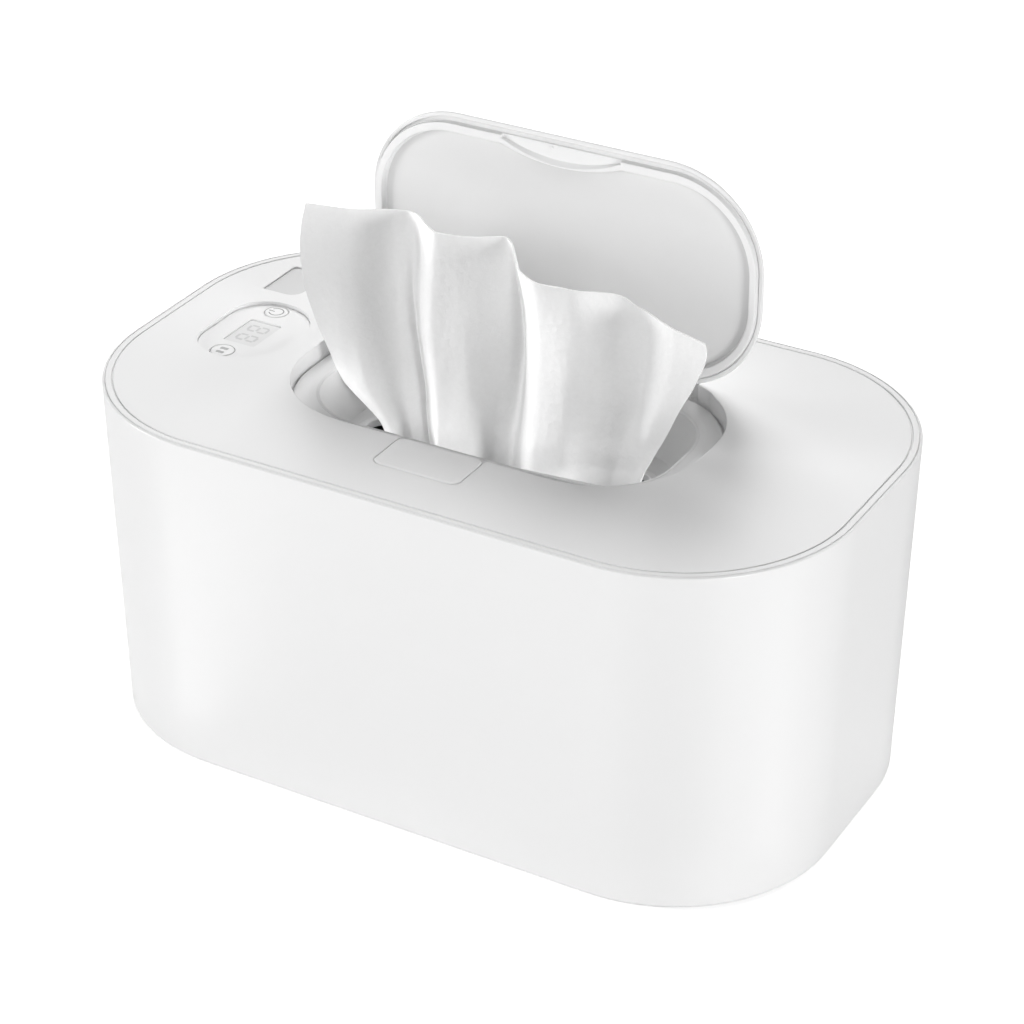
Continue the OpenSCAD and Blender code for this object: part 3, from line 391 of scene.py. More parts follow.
# Casing
inner_low = draft + shell_wall
ledge_in = 6.2
shell_lip = top_z - 0.05
seam_foot = top_z - 1.2
boss_r = 4.2
boss_out = corner_r - 10
boss_low = shell_z + 3
boss_high = shell_z + 17
shell_section = rounded([(-inner_low, shell_z + 0.4, 0.3), (-inner_low, shell_z, 0.3), (-draft, shell_z, 1.2),
                         (0, shell_lip, 0.55), (-lip_w, shell_lip, 0.1), (-lip_w, top_z - 0.4, 0),
                         (touch - cover_in, top_z - seam_deep, 0), (touch - cover_in, seam_foot, 0),
                         (-lip_w, seam_foot - 0.1, 0), (-lip_w, ledge_z, 0), (-ledge_in, ledge_z, 0.2),
                         (-ledge_in, ledge_z - 1, 0), (-inner_low + 1.8, ledge_z - 4, 0)], 5)
casing = Solid().wall(rectangle(body_w, body_d, corner_r), [tuple(p) for p in shell_section], closed=True)
for sx in (-1, 1):
    for sy in (-1, 1):
        bx = sx * (body_w / 2 - corner_r + boss_out * math.cos(math.pi / 4))
        by = sy * (body_d / 2 - corner_r + boss_out * math.cos(math.pi / 4))
        casing.block(circle(bx, by, boss_r, 24), boss_low, boss_high, 0.3)
casing = add("Casing", casing, gloss_white, "base", ["outer_shell"])
hole = Solid().block(circle(0, 0, inlet_r, 40), 0, inlet_deep)
hole.verts = [(x + inlet_x, body_d / 2 + 1 - z, y + inlet_z) for x, y, z in hole.verts]
cut(casing, hole)

# Cover: outer frame
flange_in = 14
skirt_in = 3.1
skirt_foot = ledge_z + 0.2
rim_section = rounded([(-cover_in, top_z, 0.3), (-groove_in, top_z, 0.3), (-groove_in, top_z - seam_deep, 0),
                       (touch - panel_in, top_z - seam_deep, 0), (touch - panel_in, panel_z, 0),
                       (-flange_in, panel_z, 0.2), (-flange_in, frame_z, 0.2), (-skirt_in, frame_z, 0),
                       (-skirt_in, skirt_foot, 0.2), (-cover_in, skirt_foot, 0.2)], 4)
rim = Solid().wall(rectangle(body_w, body_d, corner_r), [tuple(p) for p in rim_section], closed=True)
add("Cover_frame", rim, satin_white, "cover", ["cover_frame"])

# Cover: top panel
button_w = 25.8
button_front = button_low.y + 0.3
button_gap = 0.2
button_r = 2.5
relief_half = 42
relief_y = hinge_y + 1.85
relief_ease = 0.55
ease_half = 48
arc_x = mouth_w / 2 - mouth_r
arc_y = mouth_d / 2 - mouth_r


def round_corner(radius, angle):
    """Point of an arc about the centre of the mouth's back right corner."""
    return arc_x + radius * math.cos(angle), arc_y + radius * math.sin(angle)


def mouth_loop():
    """Outline of the mouth with the button's notch in front and the lid's relief at the back."""
    half = button_w / 2 + button_gap
    front = button_front - button_gap
    ease_r = mouth_r + relief_ease
    a1 = math.acos((ease_half - arc_x) / ease_r)
    a2 = math.acos((relief_half - arc_x) / ease_r)
    a0 = math.acos((ease_half - arc_x) / mouth_r)
    right = [(mouth_w / 2, -mouth_d / 2, mouth_r)]
    right += [(*round_corner(mouth_r, a0 * k / 20), 0) for k in range(20)]
    right += [(*round_corner(ease_r, a1 + (a2 - a1) * k / 6), 0) for k in range(1, 6)]
    right += [(*round_corner(ease_r, a2), 0), (relief_half, relief_y, 0.5)]
    left = [(-x, y, r) for x, y, r in reversed(right)]
    notch = [(-half, -mouth_d / 2, 0), (-half, front, 2.7), (half, front, 2.7), (half, -mouth_d / 2, 0)]
    return rounded(right + left + notch, ARC)


def turned(points, angle):
    """Outline turned about the middle, angle in degrees."""
    c, s = math.cos(math.radians(angle)), math.sin(math.radians(angle))
    return [Vector((p.x * c - p.y * s, p.x * s + p.y * c)) for p in points]


key_shift = 0.5
power_x, power_y = (power_low.x + power_high.x) / 2, (power_low.y + power_high.y) / 2 - key_shift
mode_y = (mode_low.y + mode_high.y) / 2 + key_shift
window_x, window_y = (window_low.x + window_high.x) / 2 + 0.2, -0.5
key_r = 3.5
key_hole = key_r + 0.07
plate_loop = rectangle(body_w, body_d, corner_r, panel_in)
mouth = mouth_loop()
recess = rounded([(recess_right, -recess_half, 14), (recess_right, recess_half, 14),
                  (recess_left, recess_half, 11.5), (recess_left, -recess_half, 11.5)], ARC)
lens_loop = rounded([(lens_high.x, lens_low.y, 4), (lens_high.x, lens_high.y, 3.4),
                     (lens_low.x, lens_high.y, 1.6), (lens_low.x, lens_low.y, 0.35)], 12)
lens_hole = grown(lens_loop, 0.05)
holes = [circle(power_x, power_y, key_hole), circle(power_x, mode_y, key_hole),
         rectangle(window_high.x - window_low.x + 0.1, window_high.y - window_low.y + 0.1, 0.8,
                   centre=(window_x, window_y), steps=6)]
guide_wall = 1.4
guide_half = button_w / 2 + guide_wall + 0.2
guide_front = button_front - guide_wall - 0.2
guide_back = -(mouth_d / 2 + rim_wall)
guide_foot = top_z - 8.2
post_r = 2.2
post_h = 4
board_posts = ((-71, -16), (-71, 16), (-93, 0))
under_loop = rounded([(mouth_w / 2 + rim_wall, -mouth_d / 2 - rim_wall, mouth_r + rim_wall),
                      (mouth_w / 2 + rim_wall, mouth_d / 2 + rim_wall, mouth_r + rim_wall),
                      (-mouth_w / 2 - rim_wall, mouth_d / 2 + rim_wall, mouth_r + rim_wall),
                      (-mouth_w / 2 - rim_wall, -mouth_d / 2 - rim_wall, mouth_r + rim_wall),
                      (-guide_half, guide_back, 0), (-guide_half, guide_front, 0),
                      (guide_half, guide_front, 0), (guide_half, guide_back, 0)], ARC)


def edge_down(edge, z0):
    """Profile of a hole's rim: rounded at the top face, then straight down."""
    return softened([(edge, top_z, 0), (0, top_z, edge), (0, z0, 0)], 4)


plate_edge = 0.25
mouth_edge = 0.3
recess_edge = 0.12
lens_edge = 0.2
hole_edge = 0.25
recess_step = 0.35
recess_in = 0.3
lens_floor = top_z - 1.5
panel = Solid()
panel.wall(plate_loop, softened([(-plate_edge, top_z, 0), (0, top_z, plate_edge), (0, panel_z, 0),
                                 (-0.3, panel_z, 0)], 4))
panel.wall(mouth, edge_down(mouth_edge, rim_foot))
panel.wall(recess, edge_down(recess_edge, recess_z - recess_step)
           + [(-recess_in, recess_z - recess_step), (-recess_in, recess_z)])
panel.wall(lens_hole, edge_down(lens_edge, lens_floor))
panel.cap(top_z, grown(plate_loop, -plate_edge), grown(mouth, mouth_edge), grown(recess, recess_edge),
          grown(lens_hole, lens_edge))
for loop in holes:
    panel.wall(loop, softened([(hole_edge, recess_z, 0), (0, recess_z, hole_edge), (0, panel_z, 0),
                               (0.01, panel_z, 0)], 3))
panel.cap(recess_z, grown(recess, -recess_in), *[grown(loop, hole_edge) for loop in holes])
panel.cap(lens_floor, lens_hole)
panel.cap(rim_foot, under_loop, mouth)
panel.wall(under_loop, [(0, rim_foot), (0, panel_z)])
panel.cap(panel_z, grown(plate_loop, -0.3), under_loop, *[grown(loop, 0.01) for loop in holes])
for x, y in board_posts:
    panel.block(circle(x, y, post_r, 24), panel_z - post_h, panel_z + 0.2)

# Cover: walls that guide the button, with the sill under its rear edge
sill = rounded([(button_w / 2, -mouth_d / 2, 0), (-button_w / 2, -mouth_d / 2, 0),
                (-button_w / 2, guide_back, 0), (button_w / 2, guide_back, 0)])
panel.block(sill, rim_foot - 0.1, top_z - 3.3, 0.2)
guide_in = guide_half - guide_wall
guide_inner = guide_front + guide_wall
guide = rounded([(-guide_half, guide_back, 0), (-guide_half, guide_front, 0), (guide_half, guide_front, 0),
                 (guide_half, guide_back, 0), (guide_in, guide_back, 0), (guide_in, guide_inner, 0),
                 (-guide_in, guide_inner, 0), (-guide_in, guide_back, 0)])
panel.block(guide, guide_foot, gutter_z + 0.1)

# Cover: ears of the hinge, and the ledge in the gap round the button
ear_w = 3.6
ear_x = pin_high.x - ear_w / 2
ear_r = 1.45
ear_foot = gutter_z - 0.3
ear_back = relief_y + 0.1
barrel = [(hinge_y + ear_r * math.cos(a * math.pi / 16), hinge_z + ear_r * math.sin(a * math.pi / 16))
          for a in range(-2, 17)]
ear = barrel + [(hinge_y - ear_r, ear_foot), (ear_back, ear_foot), (ear_back, hinge_z - 0.6)]
for sx in (-1, 1):
    panel.along_x(ear, sx * ear_x - ear_w / 2, sx * ear_x + ear_w / 2)
ledge_out = button_w / 2 + button_gap + 0.05
ledge_far = button_front - button_gap - 0.05
ledge_near = button_w / 2 + 0.04
ledge_front = button_front - 0.04
ledge_back = -mouth_d / 2 - 0.3
ledge = rounded([(-ledge_out, ledge_back, 0), (-ledge_out, ledge_far, 2.7), (ledge_out, ledge_far, 2.7),
                 (ledge_out, ledge_back, 0), (ledge_near, ledge_back, 0), (ledge_near, ledge_front, button_r),
                 (-ledge_near, ledge_front, button_r), (-ledge_near, ledge_back, 0)])
panel.block(ledge, top_z - 1.5, top_z - 0.4)
add("Top_panel", panel, satin_white, "cover", ["top_panel"])

# Cover: gutter round the mouth, with its cove rising to an inner lip
cove = softened([(rim_wall - 0.05, rim_foot, 0), (-0.7, rim_foot, 0.1), (-0.7, gutter_z + 0.05, 0.35),
                 (-4.9, gutter_z + 0.15, 3), (-6.9, gutter_z + 0.4, 0.08), (-6.9, under_gutter, 0.2),
                 (rim_wall - 0.05, under_gutter, 0.2), (rim_wall - 0.05, rim_foot, 0)], 6)
gutter = Solid().wall(rectangle(mouth_w, mouth_d, mouth_r), cove[:-1], closed=True)
add("Mouth_gutter", gutter, satin_white, "cover", ["top_panel"])

# Throat tray
mouth_ring = rectangle(mouth_w, mouth_d, mouth_r)
tray_lip = tray_high.z
tray_in = 7.95
tray_out = 6.89
floor_in = 16
flange_out = 3.1
flange_top = under_gutter - 0.1
flange_foot = under_gutter - 1.5
lips_w = 3
tray = Solid().wall(mouth_ring, softened([
    (-floor_in, throat_z, 0), (-13, throat_z, 0.5), (-tray_in, tray_lip - 0.9, 0.3),
    (-tray_in, tray_lip - 0.2, 0.4), (-tray_out, tray_lip - 0.18, 0.08), (-tray_out, flange_top, 0.2),
    (flange_out, flange_top, 0.2), (flange_out, flange_foot, 0.2), (-7.1, flange_foot, 0.5),
    (-11.75, tray_low.z, 1.2), (-floor_in, tray_low.z, 0)], 6))
slot_loop = turned(rectangle(slot_l, slot_w, slot_w / 2 - 0.01, steps=16), slot_turn)
for z in (throat_z, tray_low.z):
    tray.cap(z, grown(mouth_ring, -floor_in), grown(slot_loop, lips_w))
tray.wall(slot_loop, [(lips_w, throat_z), (lips_w, tray_low.z)])
tray = add("Throat_tray", tray, tray_white, "cover", ["throat_tray"])

bead_w = 1.2
bead_top = throat_z + 0.8
lips_section = rounded([(lips_w - 0.05, throat_z, 0), (bead_w, throat_z, 0.15), (bead_w, bead_top, 0.3),
                        (0, bead_top, 0.3), (0, tray_low.z, 0.2), (lips_w - 0.05, tray_low.z, 0)], 4)
lips = Solid().wall(slot_loop, [tuple(p) for p in lips_section], closed=True)
lips = add("Slot_lips", lips, silicone, "cover", ["slot_lips"])

# Lid, built shut and turned open about its hinge
hinge = Vector((0, hinge_y, hinge_z)) * MM
lid_turn = Matrix.Rotation(math.radians(-lid_open), 4, "X")
lid_turn = Matrix.Translation(hinge) @ lid_turn @ Matrix.Translation(-hinge)
lid_wall = 1.3
lid_under = top_z - 1.6
lid_rim = top_z - 2.7
lid_crown = 4.4
rim_edge = 0.45
liner_z = top_z - 2.15
seal_in = 2.7
seal_w = 2.6
seal_ends = 1.15
lip_ends = 1.75
seal_z = top_z - 4.15
notch_half = ear_w / 2 + 0.3
spring_half = 8


def lid_loop(inset, notch=0.0):
    """Lid's outline, with notches at its rear edge for the ears and the spring."""
    x, y, r = lid_w / 2 - inset, lid_d / 2 - inset, lid_r - inset
    rear = []
    if notch:
        for a, b in ((ear_x + notch_half, ear_x - notch_half), (spring_half, -spring_half),
                     (notch_half - ear_x, -notch_half - ear_x)):
            rear += [(a, y, 0), (a, y - notch, 0), (b, y - notch, 0), (b, y, 0)]
    return rounded([(x, -y, r), (x, y, r), *rear, (-x, y, r), (-x, -y, r)], ARC)


lid = Solid()
outer = lid_loop(0, 1.7)
inner = lid_loop(lid_wall)
lid.wall(outer, softened([(-rim_edge, lid_rim, 0), (0, lid_rim, rim_edge), (0, top_z - 2.05, 0.7),
                          (-1.1, top_z - 0.55, 1.2), (-lid_crown, top_z, 0)], 8))
lid.cap(top_z, grown(outer, -lid_crown))
lid.wall(inner, softened([(0.3, lid_rim, 0), (0, lid_rim, 0.3), (0, lid_under, 0), (-0.01, lid_under, 0)], 4))
lid.cap(lid_under, grown(inner, -0.01))
lid.cap(lid_rim, grown(outer, -rim_edge), grown(inner, 0.3))
knuckle = Solid().block(circle(0, 0, ear_r, 24), 12, 24.5, 0.15, 0.15)
for sx in (-1, 1):
    base = len(lid.verts)
    lid.verts += [(sx * z, hinge_y + x, hinge_z + y) for x, y, z in knuckle.verts]
    lid.faces += [tuple(base + i for i in face) for face in knuckle.faces]
lid = add("Lid_shell", lid, lid_white, "lid", ["lid_shell"])
keeper_half = 5
keeper_front = -lid_d / 2 + 0.5
keeper_back = -lid_d / 2 + 2
keeper = rounded([(keeper_half, keeper_front, 0), (keeper_half, keeper_back, 0),
                  (-keeper_half, keeper_back, 0), (-keeper_half, keeper_front, 0)])
cut(lid, Solid().block(keeper, lid_rim + 0.08, top_z - 1.9))
lid.data.transform(lid_turn)

pocket_half = 17.5
pocket_y = -29.2
pocket_bow = 4.1
pocket_slope = 1.3


def bow(half, y, rise, steps=28):
    """Shallow arc from left to right that rises towards the lid's middle."""
    r = (half * half + rise * rise) / (2 * rise)
    a = math.asin(half / r)
    return [(r * math.sin(-a + 2 * a * k / steps), y + rise - r + r * math.cos(-a + 2 * a * k / steps), 0)
            for k in range(steps + 1)]


def lid_ring(inset, dent, ends=0.0):
    """Loop inside the lid's outline; ends moves its two ends further out."""
    x, y, r = lid_w / 2 - inset + ends, lid_d / 2 - inset, lid_r - inset
    return rounded([(x, -y, r), (x, y, r), (-x, y, r), (-x, -y, r), *dent], ARC)


# Lid: liner, swollen under the seal's pocket by a double sheet that fades out towards the middle
liner = Solid().block(lid_ring(lid_wall + 0.05, []), liner_z, lid_under - 0.01)
lip_y = -(lid_d / 2 - seal_in - seal_w)
lip_half = 18.4
lip_bow = 3.3
swell = 1.5
swell_rows = 10
swell_skin = 0.05
near = bow(lip_half, lip_y, lip_bow)
far = bow(26, lip_y + 0.2, 10)
base = len(liner.verts)
for k, (a, b) in enumerate(zip(near, far)):
    for j in range(swell_rows + 1):
        f = j / swell_rows
        rise = swell * math.sin(math.pi * k / (len(near) - 1)) * (1 - f) ** 2
        x, y = a[0] + (b[0] - a[0]) * f, a[1] + (b[1] - a[1]) * f
        liner.verts += [(x, y, liner_z - rise - 0.003), (x, y, liner_z + swell_skin)]
pair = 2 * (swell_rows + 1)
for k in range(len(near) - 1):
    a = base + k * pair
    for j in range(swell_rows):
        q = a + 2 * j
        liner.faces += [(q, q + 2, q + pair + 2, q + pair), (q + 1, q + pair + 1, q + pair + 3, q + 3)]
    for q in (a, a + 2 * swell_rows):
        liner.faces.append((q, q + 1, q + pair + 1, q + pair))
for a in (base, base + (len(near) - 1) * pair):
    liner.faces += [(a + 2 * j, a + 2 * j + 1, a + 2 * j + 3, a + 2 * j + 2) for j in range(swell_rows)]
liner = add("Lid_liner", liner, liner_white_painted_shade, "lid", ["lid_liner"])
liner.data.transform(lid_turn)

# Lid: seal with its finger pocket
ring_y = -(lid_d / 2 - seal_in)
seal_side = seal_z + 0.35


def seal_loop(bow_rise):
    """Outside of the seal, with its pocket for the button's finger room."""
    end = pocket_half + 0.7
    pocket = bow(pocket_half, pocket_y, bow_rise)
    return lid_ring(seal_in, [(-end, ring_y, 0.3), (-end, pocket_y - 0.1, 0), *pocket,
                              (end, pocket_y - 0.1, 0), (end, ring_y, 0.3)], seal_ends)


seal_outer = seal_loop(pocket_bow)
seal_foot = seal_loop(pocket_bow - pocket_slope)
seal_inner = lid_ring(seal_in + seal_w, bow(lip_half, lip_y, lip_bow), lip_ends)
seal_edge = 0.32
seal_cove = 0.5
seal = Solid()
seal.wall(seal_outer, [(0, seal_side), (-0.1, seal_z + 0.12), (-seal_edge, seal_z)])
seal.wall(seal_inner, [(-seal_cove, liner_z), (-0.15, liner_z - 0.15), (0, liner_z - seal_cove),
                       (0, seal_side), (0.1, seal_z + 0.12), (seal_edge, seal_z)])
seal.cap(seal_z, grown(seal_outer, -seal_edge), grown(seal_inner, seal_edge))
seal.cap(liner_z, seal_foot, grown(seal_inner, -seal_cove))
base = len(seal.verts)
seal.verts += [(p.x, p.y, seal_side) for p in seal_outer] + [(p.x, p.y, liner_z) for p in seal_foot]
turns = len(seal_outer)
for i in range(turns):
    j = (i + 1) % turns
    seal.faces.append((base + i, base + j, base + turns + j, base + turns + i))
step_half = pocket_half + 1
step = rounded([(-step_half, ring_y, 0.3), (step_half, ring_y, 0.3), (step_half, pocket_y, 0),
                *reversed(bow(pocket_half, pocket_y, pocket_bow - 0.9)), (-step_half, pocket_y, 0)])
pocket_z = seal_z + 1.25
seal.block(step, pocket_z, liner_z, 0, 0.2)
pip_x = -3.3
pip_y = -29.4
pip_r = 0.45
seal.block(circle(pip_x, pip_y, pip_r, 20), pocket_z - 0.3, pocket_z + 0.1, 0, 0.15)
add("Lid_seal", seal, silicone, "lid", ["lid_seal"], lid_turn)

# Release button
button_y = (-mouth_d / 2 + button_front) / 2
button_top = button_high.z
button_skin = 1.2
half = button_w / 2
button_plate = rectangle(button_w, -mouth_d / 2 - button_front, button_r, centre=(0, button_y), steps=12)
button = Solid().block(button_plate, button_top - button_skin, button_top, 0.45, 0.1)
skirt_back = guide_back - 0.6
skirt_half = half - button_skin
skirt_front = button_front + button_skin
skirt = rounded([(-half, skirt_back, 0), (-half, button_front, button_r), (half, button_front, button_r),
                 (half, skirt_back, 0), (skirt_half, skirt_back, 0), (skirt_half, skirt_front, 1.3),
                 (-skirt_half, skirt_front, 1.3), (-skirt_half, skirt_back, 0)])
button.block(skirt, top_z - 4, button_top - 1.1)

# Release button: inclined leg that draws the latch
leg_bend = top_z - 3.4
leg_low = button_low.z
leg_run = (leg_bend - leg_low) * 1.4
leg_front = -44.6
leg_back = leg_front + 1.6
leg_top = button_top - 1
leg_half = 3
leg = [(leg_front, leg_top), (leg_front, leg_bend), (leg_front + leg_run, leg_low),
       (leg_back + leg_run, leg_low), (leg_back, leg_bend), (leg_back, leg_top)]
button.along_x(leg, -leg_half, leg_half)
add("Release_button", button, satin_white, "button", ["release_button"])

# Keys
key_top = recess_z + 0.05
key_edge = 0.5
collar_w = 0.7
collar_top = panel_z - 0.15
collar_foot = panel_z - 0.75
stem_in = 2.55
for name, y, foot, body in (("Power_key", power_y, power_low.z, "key_power"),
                            ("Mode_key", mode_y, mode_low.z, "key_mode")):
    key = Solid()
    ring_loop = circle(power_x, y, key_r)
    key.wall(ring_loop, softened([(-key_edge, key_top, 0), (0, key_top, key_edge), (0, collar_top, 0),
                                  (collar_w, collar_top, 0), (collar_w, collar_foot, 0),
                                  (-stem_in, collar_foot, 0), (-stem_in, foot, 0)], 5))
    key.cap(key_top, grown(ring_loop, -key_edge)).cap(foot, grown(ring_loop, -stem_in))
    add(name, key, key_white, body, [name.lower()])

# Signs on the keys
ink = 0.03
sign_top = key_top + ink
symbol = Solid()
arc_out = 2.25
arc_in = 1.9
gap = math.radians(32)
spans = [gap + (2 * math.pi - 2 * gap) * k / 40 for k in range(41)]
symbol_loop = [Vector((power_x - r * math.cos(a), power_y - r * math.sin(a)))
               for r, angles in ((arc_out, spans), (arc_in, reversed(spans))) for a in angles]
symbol.block(symbol_loop, recess_z, sign_top)
symbol.block(rectangle(1.9, 0.36, 0.16, centre=(power_x - 1.5, power_y), steps=4), recess_z, sign_top)
add("Power_symbol", symbol, print_grey, "key_power")
symbol = Solid()
mark_l = 2.5
mark_w = 1.15
for y in (-mark_w, mark_w):
    symbol.block(rectangle(mark_l, mark_w, 0.3, centre=(power_x, mode_y + y), steps=4), recess_z, sign_top)
add("Mode_symbol", symbol, mark_grey, "key_mode")

# Display: milky window with two figures of seven bars
window_l, window_w = window_high.x - window_low.x, window_high.y - window_low.y
window_loop = rectangle(window_l, window_w, 0.75, centre=(window_x, window_y), steps=8)
window = Solid().block(window_loop, window_low.z, window_high.z, 0.2)
add("Display_window", window, window_white, "cover", ["display_window"])
digits = Solid()
bar = 0.75
digit_w = 3.8
digit_h = 6.6
digit_out = 2.9


def digit_bar(l, w, x, y):
    """One bar of a figure, about (x, y)."""
    digits.block(rectangle(l, w, 0.2, centre=(x, y), steps=3), window_high.z - ink, window_high.z + ink)


for y in (window_y - digit_out, window_y + digit_out):
    for x in (-1, 0, 1):
        digit_bar(bar, digit_w - 2 * bar, window_x + x * (digit_h - bar) / 2, y)
    for x in (window_x - digit_h / 4, window_x + digit_h / 4):
        for side in (-1, 1):
            digit_bar(digit_h / 2 - 1.4 * bar, bar, x, y + side * (digit_w - bar) / 2)
add("Display_digits", digits, digit_grey, "cover")

# Night light in the back left recess
lens = Solid().block(lens_loop, lens_low.z, top_z - 0.4, 0.12)
add("Night_light", lens, lens_grey, "cover", ["night_light_lens"])

# Wipe: lines that run up it, from its left edge to its right edge, as (height over the cover's top, x, y)
pleats = {
    "left edge": (
        (44.2, -61.4, -2.1), (37.7, -63, -2), (30.5, -63.8, -2), (20.3, -62.9, -2), (10, -60, -1.5),
        (2, -56, -1.5), (-7, -51, -1.8), (-17, -36.9, -3.9), (-27, -34, -3.6)),
    "left panel": (
        (43.2, -50, 2.6), (30, -51, 1.8), (10, -48.5, 0), (-7, -42, -3.5), (-17, -32, -6.3),
        (-27, -30, -6)),
    "dark side of first fold": (
        (42.4, -39.6, 9.9), (22, -38.7, 8.2), (13, -37.7, 7), (3, -35.6, 5.2), (-7, -33, 2.6),
        (-17, -29.6, -1), (-27, -28, -1.5)),
    "first fold": (
        (42.5, -36.6, 10.6), (30, -36.3, 8.9), (22, -35.8, 7.7), (13, -34.5, 6.3), (3, -32, 4.5),
        (-7, -29.1, 2.3), (-17, -26.4, -0.2), (-27, -25, 0)),
    "first crease": (
        (42.7, -34.2, 9.9), (30, -34.3, 9.3), (22, -34.2, 8.9), (13, -33.1, 8.1), (3, -30.8, 6.6),
        (-7, -28.2, 4.8), (-17, -25.7, 1.6), (-27, -24, 1)),
    "bright band": (
        (43.4, -27.8, 4.6), (22, -28.2, 3.4), (13, -28, 3.2), (3, -26, 2.2), (-7, -23.7, 0.2),
        (-17, -21, -3), (-27, -20, -3.2)),
    "end of the band": (
        (43.2, -22, 1.2), (22, -22.6, 0), (13, -22.2, -0.4), (3, -20.8, -1.4), (-7, -19, -3.2),
        (-17, -17.4, -5.6), (-27, -16.5, -5.4)),
    "middle panel": (
        (43.4, -13, 2.8), (22, -13, 0.4), (3, -11.5, -1.4), (-7, -10, -3), (-17, -8.6, -4.9),
        (-27, -8, -5)),
    "second fold": (
        (44.2, -3.6, 6.2), (37, -2, 5.2), (22, -1.2, 4.4), (3, -2.1, 3.9), (-7, -3, 3.2),
        (-17, -4, 2.4), (-27, -4, 2)),
    "second crease": (
        (43.6, -1.4, 5.2), (37, -0.6, 6), (30, 0.2, 7), (22, 0.8, 7.9), (13, 1.4, 8), (3, 0.9, 7.2),
        (-7, 0.3, 6), (-17, -0.6, 4.4), (-27, -1, 4)),
    "bright side of second fold": (
        (41.4, 7.4, -5.4), (30, 7.4, -1.6), (22, 6.8, 0.6), (3, 5.6, 1.6), (-17, 4, 0), (-27, 3, -0.5)),
    "right panel": (
        (41.5, 15, -9.4), (22, 15, -6.8), (3, 13.5, -4.6), (-17, 11, -3.8), (-27, 9, -3.5)),
    "front of right panel": (
        (42.2, 24, -9.6), (30, 24.6, -9.6), (3, 21.8, -6.6), (-7, 19.8, -5.2), (-17, 18, -3),
        (-27, 16, -2.6)),
    "third fold": (
        (40.6, 36.6, -3.6), (30, 38.2, -4.8), (13, 36.6, -4.2), (3, 33.3, -2.8), (-7, 29.6, -0.2),
        (-17, 26, 2.6), (-27, 24, 2.4)),
    "past third fold": (
        (38.6, 42, -3.8), (30, 44, -4), (13, 42, -3), (3, 39, -1.2), (-7, 35.2, 1.4), (-17, 31.4, 5.2),
        (-27, 29, 5)),
    "right part": (
        (37.9, 55.3, -9.3), (23, 53.6, -8.2), (3, 46.1, -4.1), (-7, 41, 0.6), (-17, 36.2, 5),
        (-27, 34, 5)),
    "right edge": (
        (37.4, 64.3, -11), (34.6, 64.9, -11), (23.5, 61, -9.6), (14.1, 56, -7.6), (3.6, 50.8, -4.1),
        (-6.8, 45, -0.4), (-17, 39.9, 3.4), (-27, 38, 4)),
}
wipe_low = throat_z - 8
rows = 96
wipe_t = 0.45
pleat_step = 0.7


def eased(knots, t):
    """Smooth curve through knots (t, value) that never overshoots them."""
    if t <= knots[0][0]:
        return knots[0][1]
    if t >= knots[-1][0]:
        return knots[-1][1]
    n = len(knots)
    steps = [(knots[i + 1][0] - knots[i][0], knots[i + 1][1] - knots[i][1]) for i in range(n - 1)]
    slope = [0.0] * n
    for i in range(1, n - 1):
        (h0, d0), (h1, d1) = steps[i - 1], steps[i]
        if d0 * d1 > 0:
            w0, w1 = 2 * h1 + h0, h1 + 2 * h0
            slope[i] = (w0 + w1) / (w0 * h0 / d0 + w1 * h1 / d1)
    slope[0] = steps[0][1] / steps[0][0]
    slope[-1] = steps[-1][1] / steps[-1][0]
    i = max(k for k in range(n - 1) if knots[k][0] <= t)
    h = steps[i][0]
    f = (t - knots[i][0]) / h
    return ((1 + 2 * f) * (1 - f) ** 2 * knots[i][1] + f * (1 - f) ** 2 * h * slope[i]
            + f * f * (3 - 2 * f) * knots[i + 1][1] + f * f * (f - 1) * h * slope[i + 1])


def on_line(line, v):
    """Point on a pleat's line, v from 0 at the wipe's foot to 1 at its upper edge."""
    over = [(z + top_z, x, y) for z, x, y in reversed(line)]
    z = wipe_low + (over[-1][0] - wipe_low) * v
    return Vector((eased([(q[0], q[1]) for q in over], z), eased([(q[0], q[2]) for q in over], z), z))


upright = [[on_line(line, j / rows) for j in range(rows + 1)] for line in pleats.values()]
spread = [0.0]
for left, right in zip(upright, upright[1:]):
    spread.append(spread[-1] + (left[rows // 2] - right[rows // 2]).length)
share = []
for left, right in zip(spread, spread[1:]):
    parts = max(5, round((right - left) / pleat_step))
    share += [left + (right - left) * k / parts for k in range(parts)]
share.append(spread[-1])
cols = len(share) - 1
ripple_foot = 0.15


def ripple(p):
    """Slight waviness of the cloth, broad and fine."""
    broad = noise.noise(Vector((p.x / 14, 3, p.z / 40))) * 0.5
    fine = noise.noise(Vector((p.x / 5, 7, p.z / 16))) * 0.15
    return broad + fine


grid = []
for s in share:
    column = []
    for j in range(rows + 1):
        p = Vector([eased([(at, up[j][axis]) for at, up in zip(spread, upright)], s) for axis in range(3)])
        p.y += ripple(p) * min(1.0, max(0.0, (j / rows - ripple_foot) * 3))
        column.append(p)
    grid.append(column)
verts = []
for side in (-1, 1):
    for i in range(cols + 1):
        for j in range(rows + 1):
            a, b = grid[max(i - 1, 0)][j], grid[min(i + 1, cols)][j]
            c, d = grid[i][max(j - 1, 0)], grid[i][min(j + 1, rows)]
            verts.append(grid[i][j] + (b - a).cross(d - c).normalized() * side * wipe_t / 2)
across = rows + 1
sheet_n = (cols + 1) * across
faces = []
for i in range(cols):
    for j in range(rows):
        a = i * across + j
        faces.append((a, a + across, a + across + 1, a + 1))
        faces.append((sheet_n + a, sheet_n + a + 1, sheet_n + a + across + 1, sheet_n + a + across))
for j in range(rows):
    for a in (j, cols * across + j):
        faces.append((a, a + 1, sheet_n + a + 1, sheet_n + a))
